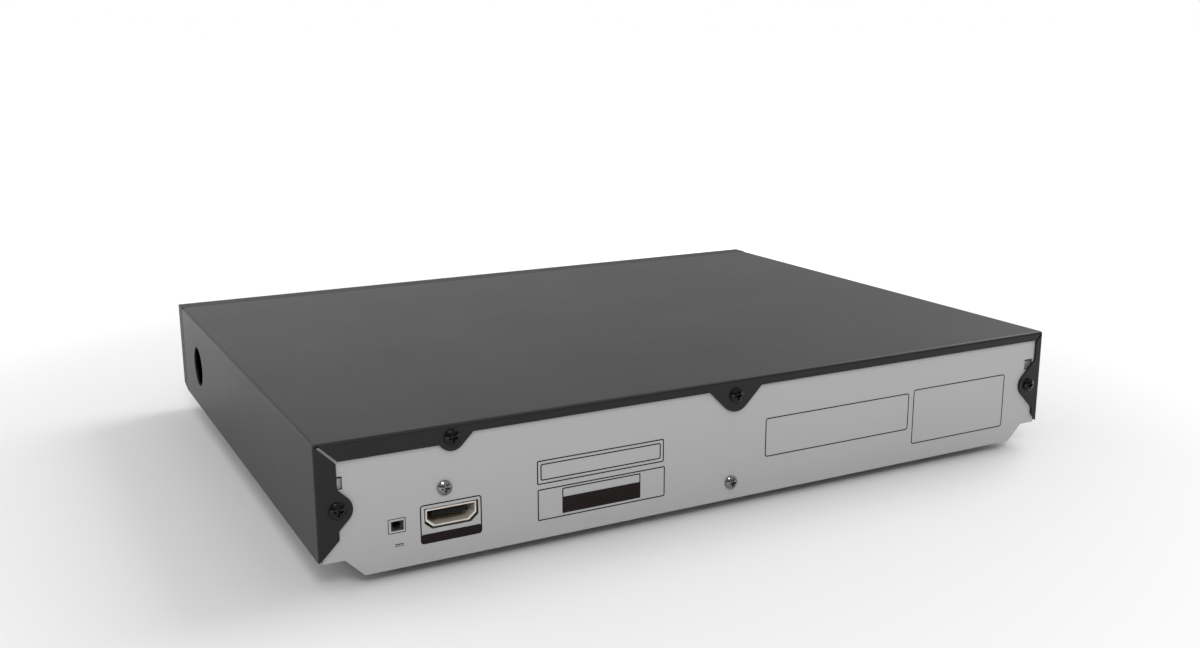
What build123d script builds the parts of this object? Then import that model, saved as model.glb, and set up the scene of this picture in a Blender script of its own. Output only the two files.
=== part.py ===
from build123d import *
import math
import os

# Blu-ray player. The front faces -Y, the connectors face +Y, and the feet stand on z = 0.
# All sizes are in millimetres. "Left" and "right" are those of someone looking at the rear.

# Case
WIDTH = 260.0                # over the cover's two sides
LOADER_TO_PANEL = 10.8       # loader's end to the rear panel; brings the case to 192.3 from face to rear
COVER_HEIGHT = 32.8          # cover's lower edge to its top
BASE_DROP = 5.9              # pan's underside below the cover's lower edge
FOOT_HEIGHT = 3.0
FOOT_RADIUS = 7.5
FOOT_INSET_X = 16.0          # foot's centre inside the pan's flat floor
FOOT_FRONT = 15.0            # front feet's centres behind the pan's front slope
FOOT_REAR = 36.0             # rear feet's centres ahead of the rear panel
COVER_SHEET = 0.8
PAN_SHEET = 0.8
PANEL_SHEET = 0.8
COVER_BEND = 1.0             # outside radius of the cover's folds
SHEET_GAP = 0.4              # between the cover's sides and the pan and panel inside them
CUT_MARGIN = 1.0             # how far a cutting shape runs past what it cuts

# Cover's rear flanges, which frame the rear panel and carry the screw tabs
LEFT_STRIP = 5.8
RIGHT_STRIP = 2.9
TOP_STRIP_LEFT = 5.4         # top flange from the left corner to the corner tab
TOP_STRIP = 2.95             # top flange over the rest of the width
MITRE_GAP = 0.7
CORNER_TAB_X = 38.0          # corner tab's screw from the cover's left side
CORNER_TAB_DROP = 3.7        # its screw below the cover's top
CORNER_TAB_RADIUS = 3.9
MIDDLE_TAB_X = -0.4          # middle tab's screw off the cover's middle
MIDDLE_TAB_DROP = 5.0
MIDDLE_TAB_RADIUS = 5.2
SIDE_TAB_INSET = 5.6         # side tabs' screws from the cover's sides
SIDE_TAB_RISE = 14.05        # and above its lower edge
SIDE_TAB_RADIUS = 4.2
SIDE_HOLE_RADIUS = 7.25      # round opening in the left side
SIDE_HOLE_BACK = 34.6        # its centre behind the bezel's face
SIDE_HOLE_RISE = 15.9        # and above the cover's lower edge

# Screws
COVER_SCREW_RADIUS = 1.5
COVER_HEAD_RADIUS = 2.3
COVER_HEAD_RISE = 1.3
COVER_SCREW_LENGTH = 5.0
PANEL_HEAD_RADIUS = 2.1
PANEL_HEAD_RISE = 1.5
SMALL_SCREW_RADIUS = 1.0
SMALL_HEAD_RADIUS = 2.1
SMALL_HEAD_RISE = 1.4
SMALL_SCREW_LENGTH = 4.5
SCREW_PLAY = 0.1             # radial room round a screw's shank
CROSS_WIDTH = 0.7
CROSS_DEPTH = 1.0

# Pan and rear panel
PAN_INSET = 12.5             # pan's flat floor inside the cover's sides
LEDGE_GAP = 0.5              # pan's ledge below the cover's lower edge
PAN_SETBACK = 3.4            # ledge's front edge behind the bezel's face
FRONT_LEDGE = 9.0            # depth of the ledge under the bezel
FLANGE_RISE = 7.0            # side flanges above the cover's lower edge
CORNER_WIDTH = 10.0          # pan's rear corner tabs
PANEL_TAB_WIDTH = 16.0
PANEL_TAB_RISE = 10.5
PANEL_SCREW_X = 0.5          # silver screw at the foot of the panel
PANEL_SCREW_RISE = 5.6       # above the panel's lower edge
PANEL_LID_GAP = 0.3          # between the panel's folded top and the cover
PANEL_FOLD = 7.0
SLOT_INSET = 3.8             # outer edge of the panel's side slots from the cover's side
SLOT_WIDTH = 3.6
SLOT_HEIGHT = 3.65
SLOT_RISE = 19.45            # slots' lower edge above the cover's lower edge
SLOT_HEAD = 0.7              # gap left in the slot above the pan's corner tab
VENT_LENGTH = 26.0
VENT_WIDTH = 3.0
VENT_PITCH = 7.0
VENT_COUNT = 9
STANDOFF_RISE = 4.0          # pressed standoffs that carry the loader
STANDOFF_RADIUS = 4.0
STANDOFF_TOP = 1.0

# Rear connectors
HDMI_INSET = 37.5            # socket's middle from the cover's left side
HDMI_RISE = 4.05             # its underside above the cover's lower edge
HDMI_WIDTH = 14.9
HDMI_HEIGHT = 5.2
HDMI_CUT_X = 2.2             # lower corners, cut back
HDMI_CUT_Z = 1.9
HDMI_WALL = 0.45
HDMI_LENGTH = 12.0
HDMI_RECESS = 0.4            # socket's mouth inside the panel's outer face
HDMI_PLAY = 0.45             # room in the panel round the socket
HDMI_TONGUE_WIDTH = 10.6
HDMI_TONGUE_HEIGHT = 1.4
HDMI_TONGUE_SHARE = 0.6      # tongue's middle, as a share of the socket's height
HDMI_TONGUE_BACK = 1.2       # tongue's tip behind the mouth
HDMI_TAB_WIDTH = 10.0
HDMI_SCREW_RISE = 10.85      # silver screw above the socket's underside
HDMI_SCREW_SHIFT = 1.9       # and to the left of its middle
JACK_INSET = 21.9
JACK_RISE = 6.4
JACK_MOUTH_WIDTH = 3.6
JACK_MOUTH_HEIGHT = 2.8
JACK_BORE_RADIUS = 1.25
JACK_PIN_RADIUS = 0.35
JACK_WIDTH = 7.0
JACK_TOP = 2.2               # body above the bore's axis
JACK_LENGTH = 11.0
JACK_BORE_DEPTH = 8.0
JACK_PIN_BACK = 3.0          # pin's tip behind the mouth

# Bezel and what shows on it
BEZEL_DEPTH = 7.5
BEZEL_WALL = 2.4
BEZEL_SIDE = 2.0
BEZEL_ROUND = 1.0
BEZEL_RISE = 2.0             # underside rises towards the face
SEAM_GAP = 0.25              # cover's front edge behind the bezel's shoulder
TONGUE_REACH = 4.0           # tongue that the cover's front edge slides over
TONGUE_WALL = 1.2
TONGUE_GAP = 0.15
BEZEL_SCREW_INSET = 34.0     # outer bezel screws from the cover's sides
BEZEL_SCREW_BACK = 5.6
BEZEL_BOSS_RADIUS = 2.4
BEZEL_BOSS_RISE = 5.0
DOOR_THICKNESS = 3.0
DOOR_OVERHANG = 3.0          # door past the tray on each side
DOOR_BELOW = 4.8             # door below the tray's underside
DOOR_ABOVE = 4.0             # door above the tray's rim
DOOR_GAP = 0.4
DOOR_ROUND = 0.8
BUTTON_RADIUS_SHARE = 1 / 30 # button's radius as a share of the bezel beside the door
BUTTON_PROUD = 0.6
BUTTON_FLANGE = 0.9          # flange's overhang behind the bezel
BUTTON_FLANGE_DEPTH = 1.2
BUTTON_PLAY = 0.15
BUTTON_TRAVEL = 0.4
BUTTON_SPAN_SHARES = (0.15, 0.27, 0.39)  # from the bezel's end, as shares of the same
BUTTON_RISE = 4.0            # buttons' axis above the front board
PLUNGER_RADIUS = 1.6
PLUNGER_PLAY = 0.1
SWITCH_WIDTH = 6.2
SWITCH_DEPTH = 3.6
SWITCH_HEIGHT = 7.0
SWITCH_BACK = 5.4            # switch's front behind the bezel's face
PLUNGER_GRIP = 1.0           # plunger's length inside the switch
WINDOW_SPAN_SHARE = 0.62
WINDOW_WIDTH_SHARE = 0.24
WINDOW_HEIGHT = 10.0
WINDOW_RISE = 5.5            # window's middle above the front board
WINDOW_PLAY = 0.1
WINDOW_LIP = 1.2
WINDOW_LIP_DEPTH = 0.8
USB_SPAN_SHARE = 0.87
USB_WIDTH = 13.1
USB_HEIGHT = 5.7
USB_WALL = 0.4
USB_LENGTH = 17.0
USB_BACK = 0.5               # mouth behind the bezel's face
USB_PLAY = 0.4
USB_TONGUE_WIDTH = 11.1
USB_TONGUE_HEIGHT = 1.8
USB_TONGUE_DROP = 0.7        # tongue below the shell's roof
USB_TONGUE_BACK = 1.2
USB_INSULATOR = 5.0

# Front board
FRONT_BOARD_BACK = 4.4       # front edge behind the bezel's face
FRONT_BOARD_DEPTH = 26.0
FRONT_BOARD_RISE = 10.6      # underside above the pan's floor
FRONT_BOARD_INSET_RIGHT = 8.0
LOADER_TO_FRONT_BOARD = 2.1
BOARD_SHEET = 1.6
FRONT_SCREW_INSET = 5.0
IR_WIDTH = 6.0
IR_DEPTH = 3.6
IR_HEIGHT = 7.5
IR_LENS_RADIUS = 2.2
IR_BACK = 4.6                # receiver and lamp behind the bezel's face
IR_SHIFT_SHARE = 0.27              # from the window's middle, as a share of its width
LED_RADIUS = 1.5
LED_RISE = 5.5

# Main board
MAIN_BOARD_DEPTH = 112.0
MAIN_BOARD_SETBACK = 1.6     # rear edge from the rear panel
MAIN_BOARD_MARGIN = 1.5      # right edge inside the pan's flat floor
LOADER_TO_BOARD = 12.0       # left edge from the loader's side
BOARD_SCREW_INSET = 4.5
PILLAR_RADIUS = 2.8
CHIP_SIZE = 19.0
CHIP_HEIGHT = 1.4
HEATSINK_SIZE = 30.0
HEATSINK_BASE = 2.0
HEATSINK_HEIGHT = 11.0
FIN_COUNT = 7
FIN_SHEET = 1.2
MEMORY_WIDTH = 9.0
MEMORY_LENGTH = 13.0
MEMORY_HEIGHT = 1.2
MEMORY_GAP = 5.0             # from the heat sink
MEMORY_CLEAR = 6.8           # from the front cable's socket
CAPACITOR_RADIUS = 4.0
CAPACITOR_HEIGHT = 11.5
CAPACITOR_PITCH = 10.5
CAPACITOR_COUNT = 3
CAPACITOR_BACK = 20.0        # row in front of the rear panel
INDUCTOR_SIZE = 7.5
INDUCTOR_HEIGHT = 4.2
INDUCTOR_BACK = 33.0
INDUCTOR_PITCH = 12.0
SOCKET_WIDTH = 18.0          # ribbon sockets
SOCKET_DEPTH = 4.5
SOCKET_HEIGHT = 2.6
SOCKET_CLEAR = 6.1           # loader cable's socket from the board's rear screw
RIBBON_SHEET = 0.3
RIBBON_WIDTH = 14.0
RIBBON_ARCH = 7.0            # ribbon's rise above its sockets
RIBBON_BEND = 3.0

# Disc and tray
DISC_SEAT_RADIUS = 60.6
SMALL_SEAT_RADIUS = 40.6
SEAT_DEPTH = 2.6
SMALL_SEAT_DEPTH = 1.2
TRAY_EDGE = 4.4              # tray beside the disc's seat
TRAY_THICKNESS = 5.6
TRAY_RISE = 19.6             # tray's underside above the pan's floor
DISC_CLEAR = 1.9             # open tray: disc's seat out past the bezel's face
TRAY_ROUND = 3.0
SLOT_RADIUS = 31.0           # tray's cut-out round the turntable and pickup
RACK_OFFSET = 43.0           # rack's pitch line from the loader's middle
RACK_BAR = 3.0
RACK_HEIGHT = 3.8
RACK_RUNOUT = 7.0

# Loader frame
LOADER_INSET = 3.6           # frame's side inside the pan's flat floor
FRAME_GAP = 0.4              # between the frame and the pan's front slope
FRAME_FLOOR = 2.0
FRAME_WALL = 2.4
FRAME_END_RISE = 8.5         # front and rear walls above the frame's floor
TRAY_SIDE_GAP = 0.5
TRAY_GLIDE = 0.2             # tray above its rails
TRAY_HEAD_GAP = 0.3          # tray's rim below its lips
RAIL_WIDTH = 5.0
RAIL_HEIGHT = 1.8
LIP_WIDTH = 4.0
LIP_LENGTH = 24.0
LIP_HEIGHT = 2.4
FRAME_SCREW_INSET = 8.0
FRAME_SCREW_END = 6.5

# Loading drive
PRESSURE_ANGLE = math.radians(20)
BACKLASH = 0.16
FLANK_STEPS = 3
RACK_MODULE = 1.0
RACK_PINION_TEETH = 18
DRIVE_MODULE = 0.8
DRIVE_TEETH = 30
PINION_TEETH = 17
GEAR_BACK = 16.0             # gears' axes behind the frame's front
GEAR_LIFT = 2.5              # drive gears above the frame's floor
DRIVE_WIDTH = 3.3
WAIST_RADIUS = 4.0
RACK_PINION_DROP = 0.6       # rack pinion's top below the tray
RACK_PINION_WIDTH = 3.6
AXLE_RADIUS = 2.0
AXLE_PLAY = 0.06
AXLE_SHOULDER = 3.4
GEAR_END_PLAY = 0.1
PULLEY_RADIUS = 13.0
PULLEY_WIDTH = 2.6
PULLEY_GAP = 0.4             # between the pinion's teeth and the pulley
MOTOR_PULLEY_RADIUS = 3.8
PULLEY_GROOVE = 0.9
BELT_SECTION = 1.4
BELT_PLAY = 0.08
MOTOR_SPAN = 44.0            # between the two pulleys' axes
MOTOR_RADIUS = 10.5
MOTOR_HEIGHT = 10.8
MOTOR_PLAY = 0.1
MOTOR_CUP = 1.8
MOTOR_CUP_RISE = 4.0
MOTOR_SHAFT_RADIUS = 1.0

# Cam slider and traverse
TRAVERSE_TILT = 4.2          # degrees, down from level
CAM_STROKE = 18.0
CAM_PIN_RADIUS = 1.3
CAM_PIN_PLAY = 0.3
CAM_PIN_X = 30.0
CAM_UNDER = 1.0              # slider's wall below its slots
CAM_WALL = 2.5
CAM_WALL_GAP = 2.0           # between slider and traverse holder
CAM_CLEAR = 2.4              # between the belt pulley and the slider
CAM_WEB = 2.0
CAM_WEB_DEPTH = 8.0
CAM_RACK_TEETH = 8
CAM_GLIDE = 0.1
PIVOT_BACK = 6.0             # pivot behind the holder's rear beam
PIVOT_RADIUS = 2.0
PIVOT_PLAY = 0.06
PIVOT_BLOCK = 4.0            # half the length of a pivot block
HOLDER_HALF = 47.0
HOLDER_BEAM = 7.0
HOLDER_HEIGHT = 4.0
HOLDER_FRONT = 24.0          # holder's front edge ahead of the disc's middle
HOLDER_CROSS = 12.0          # depth of the holder's cross beams
GROMMET_RADIUS = 4.0
GROMMET_NECK = 2.6
GROMMET_FLANGE = 1.0
GROMMET_POST = 1.7
GROMMET_PLAY = 0.1
GROMMET_X = 34.0
PLATE_SHEET = 1.2
PLATE_DROP = 3.2             # mechanism plate's top below the tray's underside
PLATE_HALF = 38.5
PLATE_WINDOW_HALF = 29.5
PLATE_WINDOW_FRONT = 13.8    # behind the disc's middle
PLATE_END = 8.0

# Spindle, pickup and clamp
TURNTABLE_SEAT = 1.5         # above the disc's seat in the tray
TURNTABLE_RADIUS = 14.5
TURNTABLE_RIM = 1.3
ROTOR_RADIUS = 13.4
ROTOR_WALL = 1.0
ROTOR_HEIGHT = 4.4
HUB_RADIUS = 7.3
HUB_TOP_RADIUS = 5.0
HUB_HEIGHT = 2.4
SPINDLE_RADIUS = 1.5
SPINDLE_PLAY = 0.05
SPINDLE_BASE_RADIUS = 12.5
SPINDLE_BASE = 1.6
STATOR_RADIUS = 11.0
STATOR_GAP = 0.5
ROD_RADIUS = 1.25
ROD_PLAY = 0.03
ROD_X = 25.0
ROD_LIFT = 1.4               # rods' axis above the plate
ROD_SEAT = 4.0               # length of a rod's seat
ROD_SEAT_HALF = 3.0
ROD_SEAT_HEIGHT = 2.9
PICKUP_HALF = 18.0
PICKUP_FRONT = 15.8          # body's front edge behind the disc's middle
PICKUP_LENGTH = 25.0
PICKUP_TRAVEL = 33.0
PICKUP_RUNOUT = 2.2          # behind the pickup at the end of its travel
PICKUP_BELOW = 3.0           # body below the plate's top
PICKUP_HEIGHT = 8.0
BUSH_RADIUS = 2.5
BUSH_LENGTH = 5.0
ARM_HEIGHT = 2.4
LENS_BACK = 9.0              # lens behind the body's front edge
LENS_RADIUS = 3.6
LENS_WELL_RADIUS = 5.2
LENS_WELL_DEPTH = 2.6
LENS_PROUD = 1.2
LENS_TRAVEL = 0.4
LENS_SPARE = 0.3             # left under the lens holder at the end of its travel
SCREW_ROD_RADIUS = 1.5
SCREW_ROD_DROP = 5.0         # lead screw below the guide rod
NUT_PLAY = 0.08
NUT_HALF = 2.4
NUT_LENGTH = 6.0
FEED_MOTOR_RADIUS = 4.5
FEED_MOTOR_LENGTH = 12.0
FEED_BRACKET = 1.2
BRIDGE_SHEET = 1.0
BRIDGE_HALF = 20.0
BRIDGE_ROUND = 4.0
PUCK_RADIUS = 15.2
PUCK_PLAY = 0.9
PUCK_FLANGE_RADIUS = 18.0
PUCK_FLANGE = 1.2
PUCK_GAP = 0.4               # above the turntable's hub
PUCK_CROWN_RADIUS = 10.0
PUCK_CROWN = 1.4

# Levels and planes that follow from these
HALF = WIDTH / 2
Z_PAN = FOOT_HEIGHT
Z_FLOOR = Z_PAN + PAN_SHEET
Z_COVER = Z_PAN + BASE_DROP
Z_TOP = Z_COVER + COVER_HEIGHT
Z_LEDGE = Z_COVER - LEDGE_GAP
Z_FLANGE = Z_COVER + FLANGE_RISE
TRAY_WIDTH = 2 * (DISC_SEAT_RADIUS + TRAY_EDGE)
PLATE_WINDOW_BACK = PICKUP_FRONT + PICKUP_LENGTH + PICKUP_TRAVEL + PICKUP_RUNOUT
PIVOT_REACH = PLATE_WINDOW_BACK + CUT_MARGIN + HOLDER_CROSS + PIVOT_BACK

# Distances behind the bezel's face, which the loader's drive and traverse set
BACK_PAN_FLAT = PAN_SETBACK + FRONT_LEDGE + Z_LEDGE - Z_PAN
BACK_FRAME = BACK_PAN_FLAT - STANDOFF_RISE + PAN_SHEET / 2 + FRAME_GAP
BACK_GEAR = BACK_FRAME + GEAR_BACK
BACK_HOLDER = BACK_GEAR + PULLEY_RADIUS + CAM_CLEAR + CAM_WALL + CAM_WALL_GAP
BACK_DISC = BACK_HOLDER + HOLDER_FRONT
BACK_FRAME_END = BACK_DISC + PIVOT_REACH + 2 * PIVOT_BLOCK + FRAME_WALL
DEPTH = BACK_FRAME_END + LOADER_TO_PANEL + PANEL_SHEET + COVER_SHEET

Y_FACE = BUTTON_PROUD - (BUTTON_PROUD + DEPTH + COVER_HEAD_RISE) / 2
Y_REAR = Y_FACE + DEPTH
Y_SEAM = Y_FACE + BEZEL_DEPTH
Y_PANEL = Y_REAR - COVER_SHEET
Y_INSIDE = Y_PANEL - PANEL_SHEET
PAN_HALF = HALF - COVER_SHEET - SHEET_GAP
PAN_FLAT = HALF - PAN_INSET
PAN_STEP = PAN_FLAT + Z_LEDGE - Z_PAN
Y_PAN = Y_FACE + PAN_SETBACK
Y_PAN_STEP = Y_PAN + FRONT_LEDGE
Y_PAN_FLAT = Y_FACE + BACK_PAN_FLAT
CORNER_TAB = (HALF - CORNER_TAB_X, Z_TOP - CORNER_TAB_DROP)
MIDDLE_TAB = (MIDDLE_TAB_X, Z_TOP - MIDDLE_TAB_DROP)
LEFT_TAB = (HALF - SIDE_TAB_INSET, Z_COVER + SIDE_TAB_RISE)
RIGHT_TAB = (-LEFT_TAB[0], LEFT_TAB[1])
COVER_SCREWS = (CORNER_TAB, MIDDLE_TAB, LEFT_TAB, RIGHT_TAB)
PANEL_SCREW = (PANEL_SCREW_X, Z_PAN + PANEL_SCREW_RISE)
BEZEL_SCREW_XS = (BEZEL_SCREW_INSET - HALF, 0.0, HALF - BEZEL_SCREW_INSET)
Y_BEZEL_SCREW = Y_FACE + BEZEL_SCREW_BACK
Z_BEZEL_FLOOR = Z_LEDGE + PAN_SHEET

FRAME_INNER = TRAY_WIDTH / 2 + TRAY_SIDE_GAP
FRAME_HALF = FRAME_INNER + FRAME_WALL
X_LOADER = FRAME_HALF + LOADER_INSET - PAN_FLAT
Z_FRAME = Z_FLOOR + STANDOFF_RISE
Z_DECK = Z_FRAME + FRAME_FLOOR
Z_TRAY = Z_FLOOR + TRAY_RISE
Z_RIM = Z_TRAY + TRAY_THICKNESS
Z_SEAT = Z_RIM - SEAT_DEPTH
Z_LIP = Z_RIM + TRAY_HEAD_GAP
Z_BRIDGE = Z_LIP + LIP_HEIGHT
Y_TRAY = Y_FACE + DOOR_THICKNESS
Y_DISC = Y_FACE + BACK_DISC
Y_PIVOT = Y_DISC + PIVOT_REACH
Y_FRAME = Y_FACE + BACK_FRAME
Y_FRAME_END = Y_FACE + BACK_FRAME_END
TRAY_STROKE = BACK_DISC - DOOR_THICKNESS + DISC_SEAT_RADIUS + DISC_CLEAR
FRAME_SCREW_XS = (X_LOADER - FRAME_HALF + FRAME_SCREW_INSET, X_LOADER + FRAME_HALF - FRAME_SCREW_INSET)
FRAME_SCREW_YS = (Y_FRAME + FRAME_SCREW_END, Y_PIVOT - PIVOT_BLOCK - FRAME_SCREW_END)

RACK_RADIUS = RACK_MODULE * RACK_PINION_TEETH / 2
DRIVE_RADIUS = DRIVE_MODULE * DRIVE_TEETH / 2
PINION_RADIUS = DRIVE_MODULE * PINION_TEETH / 2
X_GEAR = X_LOADER + RACK_OFFSET - RACK_RADIUS
Y_GEAR = Y_FACE + BACK_GEAR
X_PULLEY = X_GEAR - DRIVE_RADIUS - PINION_RADIUS
X_MOTOR = X_PULLEY - MOTOR_SPAN
Z_DRIVE = Z_DECK + GEAR_LIFT
Z_DRIVE_TOP = Z_DRIVE + DRIVE_WIDTH
Z_RACK_PINION_TOP = Z_TRAY - RACK_PINION_DROP
Z_RACK_PINION = Z_RACK_PINION_TOP - RACK_PINION_WIDTH
Z_PULLEY = Z_DRIVE_TOP + PULLEY_GAP
Z_PULLEY_TOP = Z_PULLEY + PULLEY_WIDTH
Z_BELT = (Z_PULLEY + Z_PULLEY_TOP) / 2
Z_MOTOR_TOP = Z_PULLEY - PULLEY_GAP
CAM_REACH = math.sqrt((DRIVE_RADIUS + DRIVE_MODULE) ** 2 - (DRIVE_RADIUS - DRIVE_MODULE) ** 2)
X_CAM_RACK = X_GEAR - CAM_REACH - math.pi * DRIVE_MODULE
TRAY_LENGTH = Y_GEAR - Y_TRAY + TRAY_STROKE + RACK_RUNOUT

Z_PLATE_TOP = Z_TRAY - PLATE_DROP
Z_PLATE = Z_PLATE_TOP - PLATE_SHEET
Z_HOLDER_TOP = Z_PLATE - GROMMET_FLANGE
Z_HOLDER = Z_HOLDER_TOP - HOLDER_HEIGHT
Z_PIVOT = Z_HOLDER + HOLDER_HEIGHT / 2
Y_HOLDER = Y_FACE + BACK_HOLDER
Y_CAM_WALL = Y_HOLDER - CAM_WALL_GAP - CAM_WALL
CAM_DROP = (Y_PIVOT - Y_HOLDER + CAM_WALL_GAP + CAM_WALL / 2) * math.sin(math.radians(TRAVERSE_TILT))
GROMMETS = [
    (X_LOADER + side * GROMMET_X, y)
    for side in (-1, 1)
    for y in (Y_HOLDER + HOLDER_CROSS / 2, Y_DISC + PLATE_WINDOW_BACK + PLATE_END / 2)
]
Z_TURNTABLE = Z_SEAT + TURNTABLE_SEAT
Z_HUB = Z_TURNTABLE + HUB_HEIGHT
Z_ROD = Z_PLATE_TOP + ROD_LIFT
Z_SCREW_ROD = Z_ROD - SCREW_ROD_DROP
X_MAIN_ROD = X_LOADER - ROD_X
Z_PICKUP = Z_PLATE_TOP - PICKUP_BELOW
Z_PICKUP_TOP = Z_PICKUP + PICKUP_HEIGHT
Y_PICKUP = Y_DISC + PICKUP_FRONT
Y_LENS = Y_PICKUP + LENS_BACK
Y_FEED_BRACKET = Y_DISC + PLATE_WINDOW_FRONT - ROD_SEAT - FEED_BRACKET

X_HDMI = HALF - HDMI_INSET
Z_HDMI = Z_COVER + HDMI_RISE
Y_HDMI = Y_PANEL - HDMI_RECESS
HDMI_SCREW = (X_HDMI + HDMI_SCREW_SHIFT, Z_HDMI + HDMI_SCREW_RISE)
Z_MAIN_TOP = Z_HDMI
Z_MAIN = Z_MAIN_TOP - BOARD_SHEET
X_JACK = HALF - JACK_INSET
Z_JACK = Z_COVER + JACK_RISE
X_MAIN = X_LOADER + FRAME_HALF + LOADER_TO_BOARD
X_MAIN_END = PAN_FLAT - MAIN_BOARD_MARGIN
Y_MAIN_END = Y_INSIDE - MAIN_BOARD_SETBACK
Y_MAIN = Y_MAIN_END - MAIN_BOARD_DEPTH
MAIN_SCREWS = [
    (x, y)
    for x in (X_MAIN + BOARD_SCREW_INSET, X_MAIN_END - BOARD_SCREW_INSET)
    for y in (Y_MAIN + BOARD_SCREW_INSET, Y_MAIN_END - 2 * BOARD_SCREW_INSET - JACK_LENGTH)
]
X_CHIP = (X_MAIN + X_MAIN_END) / 2
Y_MEMORY = Y_MAIN + BOARD_SCREW_INSET + SOCKET_DEPTH + MEMORY_CLEAR
Y_CHIP = Y_MEMORY + MEMORY_WIDTH + MEMORY_GAP + HEATSINK_SIZE / 2
Z_FRONT = Z_FLOOR + FRONT_BOARD_RISE
Z_FRONT_TOP = Z_FRONT + BOARD_SHEET
X_FRONT_END = HALF - FRONT_BOARD_INSET_RIGHT
X_FRONT = X_LOADER + FRAME_HALF + LOADER_TO_FRONT_BOARD
Y_FRONT = Y_FACE + FRONT_BOARD_BACK
Y_FRONT_END = Y_FRONT + FRONT_BOARD_DEPTH
FRONT_SCREWS = [
    (x, Y_FRONT_END - FRONT_SCREW_INSET)
    for x in (X_FRONT + FRONT_SCREW_INSET, PAN_FLAT - FRONT_SCREW_INSET)
]
Z_BUTTON = Z_FRONT_TOP + BUTTON_RISE
Y_SWITCH = Y_FACE + SWITCH_BACK
CONTROL_SPAN = HALF - X_LOADER - TRAY_WIDTH / 2 - DOOR_OVERHANG
BUTTON_RADIUS = CONTROL_SPAN * BUTTON_RADIUS_SHARE
BUTTON_XS = [HALF - CONTROL_SPAN * share for share in BUTTON_SPAN_SHARES]
WINDOW_WIDTH = CONTROL_SPAN * WINDOW_WIDTH_SHARE
IR_SHIFT = WINDOW_WIDTH * IR_SHIFT_SHARE
X_WINDOW = HALF - CONTROL_SPAN * WINDOW_SPAN_SHARE
Z_WINDOW = Z_FRONT_TOP + WINDOW_RISE
X_USB = HALF - CONTROL_SPAN * USB_SPAN_SHARE
Y_USB = Y_FACE + USB_BACK
X_RIBBON = X_CHIP
Y_FRONT_SOCKET = Y_FRONT_END - SOCKET_DEPTH / 2 - FRONT_SCREW_INSET
Y_MAIN_SOCKET = Y_MAIN + SOCKET_DEPTH / 2 + BOARD_SCREW_INSET
Y_LOADER_SOCKET = MAIN_SCREWS[1][1] - SMALL_HEAD_RADIUS - SOCKET_CLEAR - SOCKET_WIDTH / 2


def block(x0, x1, y0, y1, z0, z1):
    """Box between two corners."""
    return Pos((x0 + x1) / 2, (y0 + y1) / 2, (z0 + z1) / 2) * Box(x1 - x0, y1 - y0, z1 - z0)


def post(x, y, z0, z1, radius):
    """Upright cylinder."""
    return Pos(x, y, (z0 + z1) / 2) * Cylinder(radius, z1 - z0)


def bar_y(x, z, y0, y1, radius):
    """Cylinder along Y."""
    return Pos(x, (y0 + y1) / 2, z) * Rot(90, 0, 0) * Cylinder(radius, y1 - y0)


def bar_x(y, z, x0, x1, radius):
    """Cylinder along X."""
    return Pos((x0 + x1) / 2, y, z) * Rot(0, 90, 0) * Cylinder(radius, x1 - x0)


def prism_x(outline, x0, x1):
    """A YZ outline, extruded from x0 to x1."""
    return extrude(Plane.YZ.offset(x0) * outline, x1 - x0, dir=(1, 0, 0))


def prism_y(outline, y0, y1):
    """An XZ outline, extruded from y0 to y1."""
    return extrude(Plane.XZ.offset(-y0) * outline, y1 - y0, dir=(0, 1, 0))


def prism_z(outline, z0, z1):
    """An XY outline, extruded from z0 to z1."""
    return extrude(Plane.XY.offset(z0) * outline, z1 - z0, dir=(0, 0, 1))


def turned(profile, x, y):
    """A half profile of (radius, z) points, turned about an upright axis at x, y."""
    return Pos(x, y, 0) * revolve(Plane.XZ * Polygon(*profile), Axis.Z)


def dome(x, y, z0, z1, radius):
    """Cap of a sphere that stands on a circle at z0 and reaches z1."""
    rise = z1 - z0
    ball = (radius ** 2 + rise ** 2) / (2 * rise)
    return Pos(x, y, z1 - ball) * Sphere(ball) & post(x, y, z0, z1 + CUT_MARGIN, radius)


def pan_head(radius, rise):
    """Screw head on z = 0 with a domed top and a cross recess."""
    side = rise * 0.4
    head = Pos(0, 0, side / 2) * Cylinder(radius, side) + dome(0, 0, side, rise, radius)
    for angle in (0, 90):
        recess = Box(radius * 1.1, CROSS_WIDTH, 2 * CROSS_DEPTH)
        head -= Pos(0, 0, rise) * Rot(0, 0, angle) * recess
    return head


def rear_screw(place, y, radius, rise):
    """Screw driven forwards into the rear at (x, z), with its head's seat at y."""
    shank = Pos(0, 0, -COVER_SCREW_LENGTH / 2) * Cylinder(COVER_SCREW_RADIUS, COVER_SCREW_LENGTH)
    return Pos(place[0], y, place[1]) * Rot(-90, 0, 0) * (pan_head(radius, rise) + shank)


def small_screw(x, y, z, length=SMALL_SCREW_LENGTH):
    """Small screw driven down, with its head's seat at z."""
    head = post(x, y, z, z + SMALL_HEAD_RISE, SMALL_HEAD_RADIUS)
    return head + post(x, y, z - length, z, SMALL_SCREW_RADIUS)


def small_pilot(x, y, z):
    """Hole for a small screw, open at z and below."""
    return post(x, y, z - SMALL_SCREW_LENGTH - CUT_MARGIN, z + CUT_MARGIN, SMALL_SCREW_RADIUS + SCREW_PLAY)


def rear_pilot(place, y0, y1):
    """Hole for a rear screw at (x, z)."""
    return bar_y(place[0], place[1], y0 - CUT_MARGIN, y1 + CUT_MARGIN, COVER_SCREW_RADIUS + SCREW_PLAY)


def tab_outline(radius):
    """Screw tab about the origin: a round nose that points down, with flanks at 45 degrees."""
    side = radius / math.sqrt(2)
    reach = 2 * radius
    nose = Circle(radius)
    wide = side + reach
    return nose + Polygon((-side, -side), (side, -side), (wide, reach - side), (-wide, reach - side))


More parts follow.
